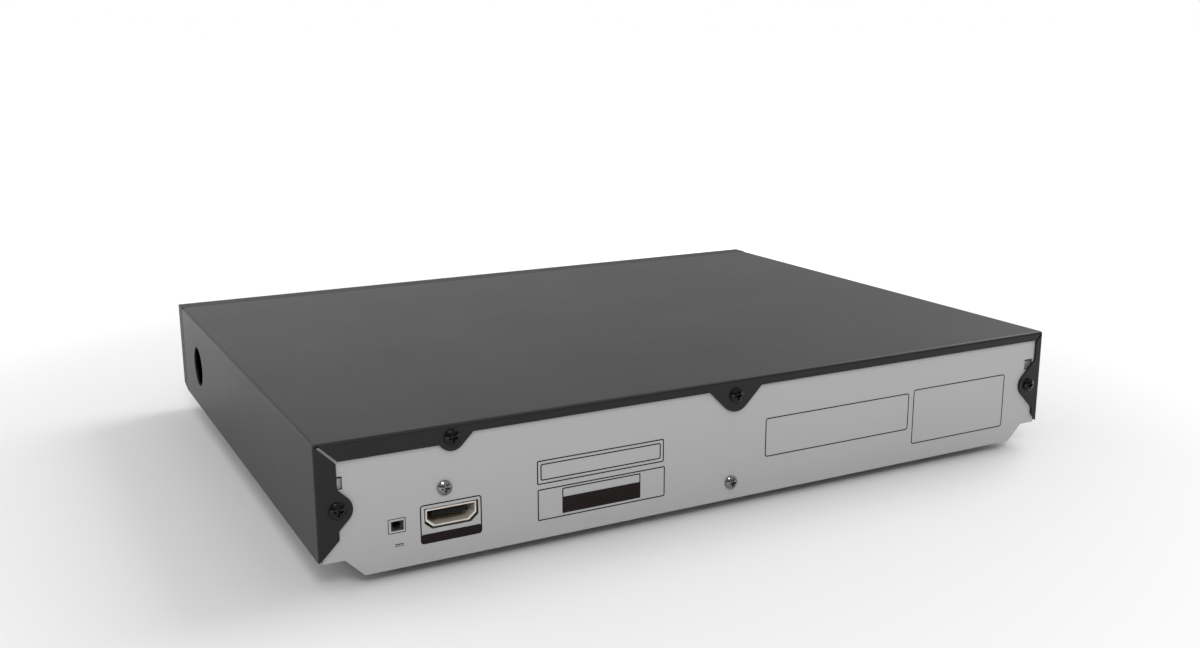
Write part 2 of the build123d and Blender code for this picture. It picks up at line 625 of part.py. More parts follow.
def rear_window():
    """Opening between the cover's rear flanges, as an XZ outline."""
    left = HALF - LEFT_STRIP
    right = RIGHT_STRIP - HALF
    low = Z_COVER - CUT_MARGIN
    window = Polygon(
        (left, Z_TOP - TOP_STRIP_LEFT),
        (CORNER_TAB[0], Z_TOP - TOP_STRIP_LEFT),
        (CORNER_TAB[0], Z_TOP - TOP_STRIP),
        (right, Z_TOP - TOP_STRIP),
        (right, Z_COVER + RIGHT_STRIP),
        (-HALF - CUT_MARGIN, low),
        (HALF + CUT_MARGIN, low),
        (left, Z_COVER + LEFT_STRIP),
    )
    window -= Pos(*CORNER_TAB) * tab_outline(CORNER_TAB_RADIUS)
    window -= Pos(*MIDDLE_TAB) * tab_outline(MIDDLE_TAB_RADIUS)
    window -= Pos(*LEFT_TAB) * Rot(0, 0, -90) * tab_outline(SIDE_TAB_RADIUS)
    window -= Pos(*RIGHT_TAB) * Rot(0, 0, 90) * tab_outline(SIDE_TAB_RADIUS)
    return window


def mitre_slit(side, strip, top_strip):
    """Slit between a side flange and the top flange, as an XZ outline."""
    length = math.sqrt(2) * (min(strip, top_strip) - COVER_BEND)
    middle = length / (2 * math.sqrt(2))
    place = Pos(side * (HALF - strip + middle), Z_TOP - top_strip + middle)
    return place * Rot(0, 0, side * 45) * Rectangle(length + 2 * MITRE_GAP, MITRE_GAP)


def top_cover():
    """Folded sheet: top, two sides and the flanges round the rear panel."""
    outer = block(-HALF, HALF, Y_SEAM + SEAM_GAP, Y_REAR, Z_COVER, Z_TOP)
    rear = outer.faces().sort_by(Axis.Y)[-1].edges()
    top = outer.faces().sort_by(Axis.Z)[-1].edges().filter_by(Axis.Y)
    folds = rear.filter_by(Axis.Z) + rear.sort_by(Axis.Z)[-1:] + top
    outer = fillet(folds, COVER_BEND)
    inner = block(
        COVER_SHEET - HALF, HALF - COVER_SHEET,
        Y_SEAM - CUT_MARGIN, Y_REAR - COVER_SHEET,
        Z_COVER - CUT_MARGIN, Z_TOP - COVER_SHEET,
    )
    cover = outer - inner
    cut = rear_window()
    cut += mitre_slit(1, LEFT_STRIP, TOP_STRIP_LEFT)
    cut += mitre_slit(-1, RIGHT_STRIP, TOP_STRIP)
    cover -= prism_y(cut, Y_PANEL - CUT_MARGIN / 2, Y_REAR + CUT_MARGIN)
    for place in COVER_SCREWS:
        cover -= rear_pilot(place, Y_PANEL, Y_REAR)
    side_hole = bar_x(
        Y_FACE + SIDE_HOLE_BACK, Z_COVER + SIDE_HOLE_RISE,
        HALF - COVER_SHEET - CUT_MARGIN, HALF + CUT_MARGIN, SIDE_HOLE_RADIUS,
    )
    return cover - side_hole


def pan_blank(lift):
    """Space inside the pan's skin, with each face moved inwards by lift and the ends left open."""
    shift = lift * math.tan(math.pi / 8)
    ledge = Z_LEDGE + lift
    floor = Z_PAN + lift
    wall = PAN_HALF - lift
    top = Z_FLANGE + lift
    across = Polygon(
        (-wall, top), (-wall, ledge), (shift - PAN_STEP, ledge), (shift - PAN_FLAT, floor),
        (PAN_FLAT - shift, floor), (PAN_STEP - shift, ledge), (wall, ledge), (wall, top),
    )
    along = Polygon(
        (Y_PAN - lift, ledge), (Y_PAN_STEP + shift, ledge), (Y_PAN_FLAT + shift, floor),
        (Y_INSIDE + lift, floor), (Y_INSIDE + lift, top), (Y_PAN - lift, top),
    )
    return prism_y(across, Y_PAN - lift, Y_INSIDE + lift) & prism_x(along, -PAN_HALF, PAN_HALF)


def pan_corner(side):
    """Folded rear corner that the panel and the cover's side tab are screwed to."""
    top = Z_COVER + SLOT_RISE + SLOT_HEIGHT - SLOT_HEAD
    outer = side * PAN_HALF
    inner = side * (PAN_HALF - CORNER_WIDTH)
    back = block(min(outer, inner), max(outer, inner), Y_INSIDE - PAN_SHEET, Y_INSIDE, Z_BEZEL_FLOOR, top)
    sheet = side * (PAN_HALF - PAN_SHEET)
    front = Y_INSIDE - CORNER_WIDTH
    flank = block(min(outer, sheet), max(outer, sheet), front, Y_INSIDE, Z_BEZEL_FLOOR, top)
    return back + flank


def pan_vents():
    """Slots in the floor under the main board."""
    vents = Sketch()
    for step in range(VENT_COUNT):
        x = X_CHIP + (step - (VENT_COUNT - 1) / 2) * VENT_PITCH
        vents += Pos(x, Y_CHIP) * Rot(0, 0, 90) * SlotOverall(VENT_LENGTH, VENT_WIDTH)
    return prism_z(vents, Z_PAN - CUT_MARGIN, Z_FLOOR + CUT_MARGIN)


def base_pan():
    """Pressed pan: floor, sloped skirt, ledge under the cover, side flanges and rear tabs."""
    pan = pan_blank(0) - pan_blank(PAN_SHEET)
    above = Z_FLANGE + CUT_MARGIN
    pan -= block(-HALF, HALF, Y_PAN - CUT_MARGIN, Y_SEAM + TONGUE_REACH, Z_BEZEL_FLOOR, above)
    for side in (-1, 1):
        pan += pan_corner(side)
    pan += block(
        PANEL_SCREW_X - PANEL_TAB_WIDTH / 2, PANEL_SCREW_X + PANEL_TAB_WIDTH / 2,
        Y_INSIDE - PAN_SHEET, Y_INSIDE, Z_PAN, Z_PAN + PANEL_TAB_RISE,
    )
    for x in FRAME_SCREW_XS:
        for y in FRAME_SCREW_YS:
            pan += post(x, y, Z_PAN, Z_FRAME, STANDOFF_RADIUS)
            pan -= post(x, y, Z_PAN - CUT_MARGIN, Z_FRAME - STANDOFF_TOP, STANDOFF_RADIUS - PAN_SHEET)
            pan -= small_pilot(x, y, Z_FRAME)
    for place in (LEFT_TAB, RIGHT_TAB, PANEL_SCREW):
        pan -= rear_pilot(place, Y_INSIDE - PAN_SHEET, Y_INSIDE)
    for x in BEZEL_SCREW_XS:
        pan -= small_pilot(x, Y_BEZEL_SCREW, Z_BEZEL_FLOOR)
    return pan - pan_vents()


def hdmi_outline(grow):
    """Socket's mouth, wide above and cut back at its lower corners, grown all round."""
    half = HDMI_WIDTH / 2 + grow
    low = Z_HDMI - grow
    top = Z_HDMI + HDMI_HEIGHT + grow
    return Polygon(
        (X_HDMI - half, top), (X_HDMI - half, low + HDMI_CUT_Z), (X_HDMI - half + HDMI_CUT_X, low),
        (X_HDMI + half - HDMI_CUT_X, low), (X_HDMI + half, low + HDMI_CUT_Z), (X_HDMI + half, top),
    )


def rear_panel():
    """Flat plate behind the cover's flanges, with a folded top edge and the connectors' openings."""
    top = Z_TOP - COVER_SHEET - PANEL_LID_GAP
    plate = Polygon(
        (-PAN_HALF, top), (-PAN_HALF, Z_LEDGE), (-PAN_STEP, Z_LEDGE), (-PAN_FLAT, Z_PAN),
        (PAN_FLAT, Z_PAN), (PAN_STEP, Z_LEDGE), (PAN_HALF, Z_LEDGE), (PAN_HALF, top),
    )
    for side in (-1, 1):
        x = side * (HALF - SLOT_INSET - SLOT_WIDTH / 2)
        plate -= Pos(x, Z_COVER + SLOT_RISE + SLOT_HEIGHT / 2) * Rectangle(SLOT_WIDTH, SLOT_HEIGHT)
    plate -= hdmi_outline(HDMI_PLAY)
    plate -= Pos(X_JACK, Z_JACK) * Rectangle(JACK_MOUTH_WIDTH, JACK_MOUTH_HEIGHT)
    panel = prism_y(plate, Y_INSIDE, Y_PANEL)
    fold = PAN_HALF - CORNER_WIDTH
    panel += block(-fold, fold, Y_INSIDE - PANEL_FOLD, Y_INSIDE, top - PANEL_SHEET, top)
    for place in COVER_SCREWS + (PANEL_SCREW, HDMI_SCREW):
        panel -= rear_pilot(place, Y_INSIDE, Y_PANEL)
    for place in (CORNER_TAB, MIDDLE_TAB):
        panel -= rear_pilot(place, Y_PANEL - COVER_SCREW_LENGTH, Y_PANEL)
    return panel


def cover_screws():
    """Black screws through the cover's four tabs."""
    return Compound([
        rear_screw(place, Y_REAR, COVER_HEAD_RADIUS, COVER_HEAD_RISE) for place in COVER_SCREWS
    ])


def panel_screws():
    """Plain screws that hold the panel to the pan and to the picture socket."""
    places = (PANEL_SCREW, HDMI_SCREW)
    return Compound([rear_screw(place, Y_PANEL, PANEL_HEAD_RADIUS, PANEL_HEAD_RISE) for place in places])


def rubber_feet():
    """Four tapered feet with a hollow in the sole."""
    sole = FOOT_RADIUS * 0.9
    profile = (
        (0, 0.6), (sole * 0.5, 0.6), (sole * 0.5, 0), (sole - 0.6, 0),
        (sole, 0.6), (FOOT_RADIUS, Z_PAN), (0, Z_PAN),
    )
    ys = (Y_PAN_FLAT + FOOT_FRONT, Y_INSIDE - FOOT_REAR)
    xs = (FOOT_INSET_X - PAN_FLAT, PAN_FLAT - FOOT_INSET_X)
    return Compound([turned(profile, x, y) for x in xs for y in ys])


def door_outline(grow):
    """Tray door as an XZ outline, grown all round."""
    width = TRAY_WIDTH + 2 * DOOR_OVERHANG + 2 * grow
    low = Z_TRAY - DOOR_BELOW - grow
    high = Z_RIM + DOOR_ABOVE + grow
    return Pos(X_LOADER, (low + high) / 2) * Rectangle(width, high - low)


def window_outline(grow):
    """Display window as an XZ outline, grown all round."""
    return Pos(X_WINDOW, Z_WINDOW) * Rectangle(WINDOW_WIDTH + 2 * grow, WINDOW_HEIGHT + 2 * grow)


def usb_outline(inset):
    """Front socket's section as an XZ outline, shrunk all round."""
    middle = Z_FRONT_TOP + USB_HEIGHT / 2
    return Pos(X_USB, middle) * Rectangle(USB_WIDTH - 2 * inset, USB_HEIGHT - 2 * inset)


def bezel_openings():
    """Openings through the bezel's face for the door, buttons, window and front socket."""
    cut = door_outline(DOOR_GAP)
    for x in BUTTON_XS:
        cut += Pos(x, Z_BUTTON) * Circle(BUTTON_RADIUS + BUTTON_PLAY)
    cut += window_outline(WINDOW_PLAY)
    cut += usb_outline(-USB_PLAY)
    return prism_y(cut, Y_FACE - CUT_MARGIN, Y_FACE + BEZEL_WALL + CUT_MARGIN)


def bezel_tongue():
    """Inner lip behind the seam that the cover's front edge slides over."""
    step = COVER_SHEET + TONGUE_GAP
    low = Z_FLANGE + CUT_MARGIN
    outer = block(step - HALF, HALF - step, Y_SEAM - BEZEL_SIDE, Y_SEAM + TONGUE_REACH, low, Z_TOP - step)
    step += TONGUE_WALL
    inner = block(
        step - HALF, HALF - step,
        Y_SEAM - BEZEL_SIDE - CUT_MARGIN, Y_SEAM + TONGUE_REACH + CUT_MARGIN,
        low - CUT_MARGIN, Z_TOP - step,
    )
    return outer - inner


def front_bezel():
    """Moulded front: face, returns, tongue, screw bosses and rests for the front board."""
    body = block(-HALF, HALF, Y_FACE, Y_SEAM, Z_COVER, Z_TOP)
    face_edges = body.faces().sort_by(Axis.Y)[0].edges().sort_by(Axis.Z)
    body = fillet(face_edges[1:], BEZEL_ROUND)
    body -= block(
        BEZEL_SIDE - HALF, HALF - BEZEL_SIDE, Y_FACE + BEZEL_WALL, Y_SEAM + CUT_MARGIN,
        Z_BEZEL_FLOOR + BEZEL_SIDE, Z_TOP - BEZEL_SIDE,
    )
    ledge_room = PAN_HALF + TONGUE_GAP
    body -= block(
        -ledge_room, ledge_room, Y_PAN - TONGUE_GAP, Y_SEAM + CUT_MARGIN,
        Z_COVER - CUT_MARGIN, Z_BEZEL_FLOOR,
    )
    underside = Polygon(
        (Y_FACE - CUT_MARGIN, Z_COVER - CUT_MARGIN), (Y_SEAM, Z_COVER - CUT_MARGIN),
        (Y_SEAM, Z_COVER), (Y_FACE, Z_COVER + BEZEL_RISE), (Y_FACE - CUT_MARGIN, Z_COVER + BEZEL_RISE),
    )
    body -= prism_x(underside, -HALF - CUT_MARGIN, HALF + CUT_MARGIN)
    body += bezel_tongue()
    for x, _ in FRONT_SCREWS:
        body += block(
            x - FRONT_SCREW_INSET, x + FRONT_SCREW_INSET,
            Y_FACE + BEZEL_WALL, Y_SEAM, Z_BEZEL_FLOOR, Z_FRONT,
        )
    for x in BEZEL_SCREW_XS:
        body += post(x, Y_BEZEL_SCREW, Z_BEZEL_FLOOR, Z_BEZEL_FLOOR + BEZEL_BOSS_RISE, BEZEL_BOSS_RADIUS)
        body -= post(
            x, Y_BEZEL_SCREW, Z_BEZEL_FLOOR - CUT_MARGIN, Z_BEZEL_FLOOR + BEZEL_BOSS_RISE - CUT_MARGIN,
            SMALL_SCREW_RADIUS + SCREW_PLAY,
        )
    return body - bezel_openings()


def bezel_screws():
    """Screws that come up through the pan's ledge into the bezel's bosses."""
    return Compound([
        Pos(x, Y_BEZEL_SCREW, Z_LEDGE) * Rot(180, 0, 0) * small_screw(0, 0, 0) for x in BEZEL_SCREW_XS
    ])


def tray_door():
    """Front door of the tray, flush with the bezel."""
    door = prism_y(door_outline(0), Y_FACE, Y_TRAY)
    return fillet(door.faces().sort_by(Axis.Y)[0].edges(), DOOR_ROUND)


def button(index):
    """Round button with a flange behind the bezel's face."""
    x = BUTTON_XS[index]
    y = Y_FACE + BEZEL_WALL
    cap = bar_y(x, Z_BUTTON, Y_FACE - BUTTON_PROUD, y, BUTTON_RADIUS)
    cap = chamfer(cap.faces().sort_by(Axis.Y)[0].edges(), BUTTON_PROUD / 2)
    return cap + bar_y(x, Z_BUTTON, y, y + BUTTON_FLANGE_DEPTH, BUTTON_RADIUS + BUTTON_FLANGE)


def plunger(index):
    """Switch plunger between a button and its switch."""
    y = Y_FACE + BEZEL_WALL + BUTTON_FLANGE_DEPTH
    return bar_y(BUTTON_XS[index], Z_BUTTON, y, Y_SWITCH + PLUNGER_GRIP, PLUNGER_RADIUS)


def button_switches():
    """Right-angle switches that stand on the front board."""
    switches = []
    for x in BUTTON_XS:
        body = block(
            x - SWITCH_WIDTH / 2, x + SWITCH_WIDTH / 2,
            Y_SWITCH, Y_SWITCH + SWITCH_DEPTH, Z_FRONT_TOP, Z_FRONT_TOP + SWITCH_HEIGHT,
        )
        bore_end = Y_SWITCH + PLUNGER_GRIP + 2 * BUTTON_TRAVEL
        bore = bar_y(x, Z_BUTTON, Y_SWITCH - CUT_MARGIN, bore_end, PLUNGER_RADIUS + PLUNGER_PLAY)
        switches.append(body - bore)
    return Compound(switches)


def display_window():
    """Smoked window with a lip behind the bezel's face."""
    y = Y_FACE + BEZEL_WALL
    pane = prism_y(window_outline(0), Y_FACE, y)
    return pane + prism_y(window_outline(WINDOW_LIP), y, y + WINDOW_LIP_DEPTH)


def socket_shell(outline, bore, y0, y1, back, open_rear):
    """Sheet-metal socket: an outline along Y with a bore that leaves the closed end's sheet."""
    shell = prism_y(outline, y0, y1)
    if open_rear:
        return shell - prism_y(bore, y0 + back, y1 + CUT_MARGIN)
    return shell - prism_y(bore, y0 - CUT_MARGIN, y1 - back)


def usb_shell():
    """Front socket's shell, standing on the front board."""
    return socket_shell(usb_outline(0), usb_outline(USB_WALL), Y_USB, Y_USB + USB_LENGTH, USB_WALL, False)


def usb_tongue():
    """Contact tongue and the insulator that carries it."""
    y_end = Y_USB + USB_LENGTH - USB_WALL
    back = prism_y(usb_outline(USB_WALL), y_end - USB_INSULATOR, y_end)
    roof = Z_FRONT_TOP + USB_HEIGHT - USB_WALL - USB_TONGUE_DROP
    half = USB_TONGUE_WIDTH / 2
    return back + block(
        X_USB - half, X_USB + half, Y_USB + USB_TONGUE_BACK, y_end, roof - USB_TONGUE_HEIGHT, roof,
    )


def front_board():
    """Control board behind the bezel."""
    board = block(X_FRONT, X_FRONT_END, Y_FRONT, Y_FRONT_END, Z_FRONT, Z_FRONT_TOP)
    for x, y in FRONT_SCREWS:
        board -= small_pilot(x, y, Z_FRONT_TOP)
    return board


def ir_receiver():
    """Remote-control receiver with a domed lens, behind the window."""
    x = X_WINDOW - IR_SHIFT
    y = Y_FACE + IR_BACK
    lens = Pos(x, y + IR_DEPTH / 3, Z_WINDOW) * Sphere(IR_LENS_RADIUS)
    front = y + IR_DEPTH / 3
    half = IR_WIDTH / 2
    body = block(x - half, x + half, front, y + IR_DEPTH, Z_FRONT_TOP, Z_FRONT_TOP + IR_HEIGHT)
    return body + (lens - block(x - IR_WIDTH, x + IR_WIDTH, front, y + 2 * IR_DEPTH, Z_FRONT, Z_TOP))


def standby_lamp():
    """Small lamp on its legs, behind the window."""
    x = X_WINDOW + IR_SHIFT
    y = Y_FACE + IR_BACK + LED_RADIUS
    top = Z_FRONT_TOP + LED_RISE
    bulb = Pos(x, y, top) * Sphere(LED_RADIUS)
    return post(x, y, Z_FRONT_TOP, top, LED_RADIUS) + bulb


def pillars():
    """Threaded pillars that carry the two boards."""
    solids = []
    for places, top in ((MAIN_SCREWS, Z_MAIN), (FRONT_SCREWS, Z_FRONT)):
        for x, y in places:
            pillar = Pos(x, y) * RegularPolygon(PILLAR_RADIUS, 6)
            solids.append(prism_z(pillar, Z_FLOOR, top) - small_pilot(x, y, top))
    return Compound(solids)


def board_screws():
    """Screws that hold the two boards to their pillars."""
    screws = [small_screw(x, y, Z_MAIN_TOP) for x, y in MAIN_SCREWS]
    screws += [small_screw(x, y, Z_FRONT_TOP) for x, y in FRONT_SCREWS]
    return Compound(screws)


def main_board():
    """Main circuit board behind the connectors."""
    board = block(X_MAIN, X_MAIN_END, Y_MAIN, Y_MAIN_END, Z_MAIN, Z_MAIN_TOP)
    for x, y in MAIN_SCREWS:
        board -= small_pilot(x, y, Z_MAIN_TOP)
    return board


def hdmi_shell():
    """Picture socket's shell with the tab that is screwed to the rear panel."""
    y0 = Y_HDMI - HDMI_LENGTH
    shell = socket_shell(hdmi_outline(0), hdmi_outline(-HDMI_WALL), y0, Y_HDMI, HDMI_WALL, True)
    x, z = HDMI_SCREW
    half = HDMI_TAB_WIDTH / 2
    roof = Z_HDMI + HDMI_HEIGHT
    tab = block(x - half, x + half, Y_INSIDE - PAN_SHEET, Y_INSIDE, roof - HDMI_WALL, z + half)
    tab -= prism_y(hdmi_outline(-HDMI_WALL), Y_INSIDE - PAN_SHEET - CUT_MARGIN, Y_INSIDE + CUT_MARGIN)
    return shell + tab - rear_pilot(HDMI_SCREW, Y_INSIDE - PAN_SHEET, Y_INSIDE)


def hdmi_tongue():
    """Contact tongue inside the picture socket."""
    y0 = Y_HDMI - HDMI_LENGTH + HDMI_WALL
    half = HDMI_TONGUE_WIDTH / 2
    middle = Z_HDMI + HDMI_HEIGHT * HDMI_TONGUE_SHARE
    tongue = block(
        X_HDMI - half, X_HDMI + half, y0, Y_HDMI - HDMI_TONGUE_BACK,
        middle - HDMI_TONGUE_HEIGHT / 2, middle + HDMI_TONGUE_HEIGHT / 2,
    )
    return tongue + prism_y(hdmi_outline(-HDMI_WALL), y0, y0 + HDMI_LENGTH / 3)


def dc_jack():
    """Power inlet's body behind the panel, with a round bore."""
    half = JACK_WIDTH / 2
    back = Y_INSIDE - JACK_LENGTH
    body = block(X_JACK - half, X_JACK + half, back, Y_INSIDE, Z_MAIN_TOP, Z_JACK + JACK_TOP)
    bore = bar_y(X_JACK, Z_JACK, Y_INSIDE - JACK_BORE_DEPTH, Y_INSIDE + CUT_MARGIN, JACK_BORE_RADIUS)
    return body - bore


def dc_jack_pin():
    """Centre pin of the power inlet."""
    y = Y_INSIDE - JACK_BORE_DEPTH
    return bar_y(X_JACK, Z_JACK, y, Y_INSIDE - JACK_PIN_BACK, JACK_PIN_RADIUS)


def processor_chip():
    """Main processor on the board."""
    half = CHIP_SIZE / 2
    top = Z_MAIN_TOP + CHIP_HEIGHT
    return block(X_CHIP - half, X_CHIP + half, Y_CHIP - half, Y_CHIP + half, Z_MAIN_TOP, top)


def heatsink():
    """Finned heat sink on the processor."""
    half = HEATSINK_SIZE / 2
    low = Z_MAIN_TOP + CHIP_HEIGHT
    sink = block(X_CHIP - half, X_CHIP + half, Y_CHIP - half, Y_CHIP + half, low, low + HEATSINK_BASE)
    pitch = (HEATSINK_SIZE - FIN_SHEET) / (FIN_COUNT - 1)
    for step in range(FIN_COUNT):
        x = X_CHIP - half + step * pitch
        sink += block(x, x + FIN_SHEET, Y_CHIP - half, Y_CHIP + half, low, low + HEATSINK_HEIGHT)
    return sink


def memory_chips():
    """Two memory chips in front of the processor."""
    chips = []
    for side in (-1, 1):
        x = X_CHIP + side * MEMORY_LENGTH * 0.6
        chips.append(block(
            x - MEMORY_LENGTH / 2, x + MEMORY_LENGTH / 2, Y_MEMORY, Y_MEMORY + MEMORY_WIDTH,
            Z_MAIN_TOP, Z_MAIN_TOP + MEMORY_HEIGHT,
        ))
    return Compound(chips)


def capacitors():
    """Row of upright capacitors along the board's edge by the loader."""
    x = X_MAIN + 2 * BOARD_SCREW_INSET + CAPACITOR_RADIUS + CUT_MARGIN
    ys = [Y_INSIDE - CAPACITOR_BACK - step * CAPACITOR_PITCH for step in range(CAPACITOR_COUNT)]
    return Compound([post(x, y, Z_MAIN_TOP, Z_MAIN_TOP + CAPACITOR_HEIGHT, CAPACITOR_RADIUS) for y in ys])


def power_inductors():
    """Two shielded coils of the power supply."""
    x = X_JACK - INDUCTOR_SIZE
    half = INDUCTOR_SIZE / 2
    coils = []
    for y in (Y_INSIDE - INDUCTOR_BACK, Y_INSIDE - INDUCTOR_BACK - INDUCTOR_PITCH):
        coil = block(x - half, x + half, y - half, y + half, Z_MAIN_TOP, Z_MAIN_TOP + INDUCTOR_HEIGHT)
        coils.append(chamfer(coil.edges().filter_by(Axis.Z), INDUCTOR_SIZE / 5))
    return Compound(coils)


def ribbon_socket(x, y, z, along_x):
    """Flat-cable socket with its middle at x, y."""
    half_x = (SOCKET_WIDTH if along_x else SOCKET_DEPTH) / 2
    half_y = (SOCKET_DEPTH if along_x else SOCKET_WIDTH) / 2
    return block(x - half_x, x + half_x, y - half_y, y + half_y, z, z + SOCKET_HEIGHT)


def ribbon_sockets():
    """Sockets of the two flat cables."""
    x_main = X_MAIN + SOCKET_DEPTH
    x_loader = X_LOADER + FRAME_HALF + SOCKET_DEPTH / 2
    return Compound([
        ribbon_socket(X_RIBBON, Y_FRONT_SOCKET, Z_FRONT_TOP, True),
        ribbon_socket(X_RIBBON, Y_MAIN_SOCKET, Z_MAIN_TOP, True),
        ribbon_socket(x_main, Y_LOADER_SOCKET, Z_MAIN_TOP, False),
        ribbon_socket(x_loader, Y_LOADER_SOCKET, Z_MAIN_TOP, False),
    ])


def ribbon(start, end, plane):
    """Flat cable that arches from one socket's top to another's, in a plane across its width."""
    arch = max(start[1], end[1]) + RIBBON_ARCH
    path = FilletPolyline(start, (start[0], arch), (end[0], arch), end, radius=RIBBON_BEND)
    section = Plane(path @ 0, x_dir=(0, 0, 1), z_dir=path % 0) * Rectangle(RIBBON_WIDTH, RIBBON_SHEET)
    return plane * sweep(section, path)


def front_ribbon():
    """Flat cable from the front board to the main board."""
    start = (Y_FRONT_SOCKET, Z_FRONT_TOP + SOCKET_HEIGHT)
    end = (Y_MAIN_SOCKET, Z_MAIN_TOP + SOCKET_HEIGHT)
    return ribbon(start, end, Plane.YZ.offset(X_RIBBON))


def loader_ribbon():
    """Flat cable from the loader to the main board."""
    top = Z_MAIN_TOP + SOCKET_HEIGHT
    start = (X_LOADER + FRAME_HALF + SOCKET_DEPTH / 2, top)
    end = (X_MAIN + SOCKET_DEPTH, top)
    return ribbon(start, end, Plane.XZ.offset(-Y_LOADER_SOCKET))


def flank_angle(teeth, module, radius):
    """Half a tooth's angle at a radius of an involute gear, with its share of the backlash taken off."""
    pitch = module * teeth / 2
    base = pitch * math.cos(PRESSURE_ANGLE)
    turn = math.acos(min(1.0, base / radius))
    opening = math.tan(PRESSURE_ANGLE) - PRESSURE_ANGLE - math.tan(turn) + turn
    return math.pi / (2 * teeth) - BACKLASH / (4 * pitch) + opening


def gear_outline(teeth, module, phase):
    """Involute gear about the origin, with a tooth's middle at the angle phase."""
    pitch = module * teeth / 2
    root = pitch - 1.25 * module
    start = max(root, pitch * math.cos(PRESSURE_ANGLE))
    tip = pitch + module
    radii = [start + (tip - start) * step / FLANK_STEPS for step in range(FLANK_STEPS + 1)]
    if root < start:
        radii.insert(0, root)
    points = []
    for tooth in range(teeth):
        middle = phase + 2 * math.pi * tooth / teeth
        for side, order in ((-1, radii), (1, radii[::-1])):
            for radius in order:
                angle = middle + side * flank_angle(teeth, module, radius)
                points.append((radius * math.cos(angle), radius * math.sin(angle)))
    return Polygon(*points)


def rack_teeth(module, count, first):
    """Straight teeth along +X from the first tooth's middle, pointing to +Y from a pitch line on y = 0."""
    half = math.pi * module / 4 - BACKLASH / 4
    slope = math.tan(PRESSURE_ANGLE)
    root = -1.25 * module
    teeth = Sketch()
    for step in range(count):
        x = first + step * math.pi * module
        teeth += Polygon(
            (x - half + slope * root, root), (x + half - slope * root, root),
            (x + half - slope * module, module), (x - half + slope * module, module),
        )
    return teeth


def disc_tray():
    """Tray with seats for both disc sizes, a cut-out open to the rear, and the rack under its right leg."""
    y_end = Y_TRAY + TRAY_LENGTH
    half = TRAY_WIDTH / 2
    tray = block(X_LOADER - half, X_LOADER + half, Y_TRAY, y_end, Z_TRAY, Z_RIM)
    tray = fillet(tray.faces().sort_by(Axis.Y)[-1].edges().filter_by(Axis.Z), TRAY_ROUND)
    tray -= post(X_LOADER, Y_DISC, Z_SEAT, Z_RIM + CUT_MARGIN, DISC_SEAT_RADIUS)
    tray -= post(X_LOADER, Y_DISC, Z_SEAT - SMALL_SEAT_DEPTH, Z_RIM, SMALL_SEAT_RADIUS)
    tray -= post(X_LOADER, Y_DISC, Z_TRAY - CUT_MARGIN, Z_RIM, SLOT_RADIUS)
    tray -= block(
        X_LOADER - SLOT_RADIUS, X_LOADER + SLOT_RADIUS, Y_DISC, y_end + CUT_MARGIN,
        Z_TRAY - CUT_MARGIN, Z_RIM + CUT_MARGIN,
    )
    return tray + tray_rack(y_end)


def tray_rack(y_end):
    """Rack bar whose tooth gap faces the rack pinion at rest."""
    pitch = math.pi * RACK_MODULE
    before = int((Y_GEAR - Y_TRAY) / pitch - 1)
    count = before + int((y_end - Y_GEAR) / pitch)
    first = Y_GEAR - (before - 0.5) * pitch
    teeth = Pos(X_LOADER + RACK_OFFSET, 0) * Rot(0, 0, 90) * rack_teeth(RACK_MODULE, count, first)
    x = X_LOADER + RACK_OFFSET + RACK_MODULE
    bar = block(x, x + RACK_BAR, Y_TRAY, y_end - TRAY_ROUND, Z_TRAY - RACK_HEIGHT, Z_TRAY)
    return bar + prism_z(teeth, Z_TRAY - RACK_HEIGHT, Z_TRAY)


def axle_post(x, y, shoulder_top, top):
    """Fixed axle on the loader's deck, with a shoulder under its gear."""
    return post(x, y, Z_FRAME, shoulder_top, AXLE_SHOULDER) + post(x, y, Z_FRAME, top, AXLE_RADIUS)


def frame_sides():
    """Side walls with the tray's rails below and lips above."""
    sides = Part()
    for side in (-1, 1):
        def span(inner, outer, y0, y1, z0, z1):
            """Block between two distances from the loader's middle, on this side."""
            xs = sorted((X_LOADER + side * inner, X_LOADER + side * outer))
            return block(xs[0], xs[1], y0, y1, z0, z1)

        sides += span(FRAME_INNER, FRAME_HALF, Y_FRAME, Y_FRAME_END, Z_FRAME, Z_LIP)
        rail_top = Z_TRAY - TRAY_GLIDE
        rail = FRAME_INNER - RAIL_WIDTH
        sides += span(rail, FRAME_HALF, Y_FRAME, Y_FRAME_END, rail_top - RAIL_HEIGHT, rail_top)
        lips = ((Y_FRAME, Y_FRAME + LIP_LENGTH), (Y_DISC - BRIDGE_HALF, Y_DISC + BRIDGE_HALF))
        for y0, y1 in lips:
            sides += span(FRAME_INNER - LIP_WIDTH, FRAME_HALF, y0, y1, Z_LIP, Z_BRIDGE)
    return sides


def bridge_screw_places():
    """Places of the four screws that hold the clamp bridge."""
    x = FRAME_INNER - LIP_WIDTH / 2 + FRAME_WALL / 2
    y = BRIDGE_HALF - BRIDGE_ROUND
    return [(X_LOADER + a * x, Y_DISC + b * y) for a in (-1, 1) for b in (-1, 1)]


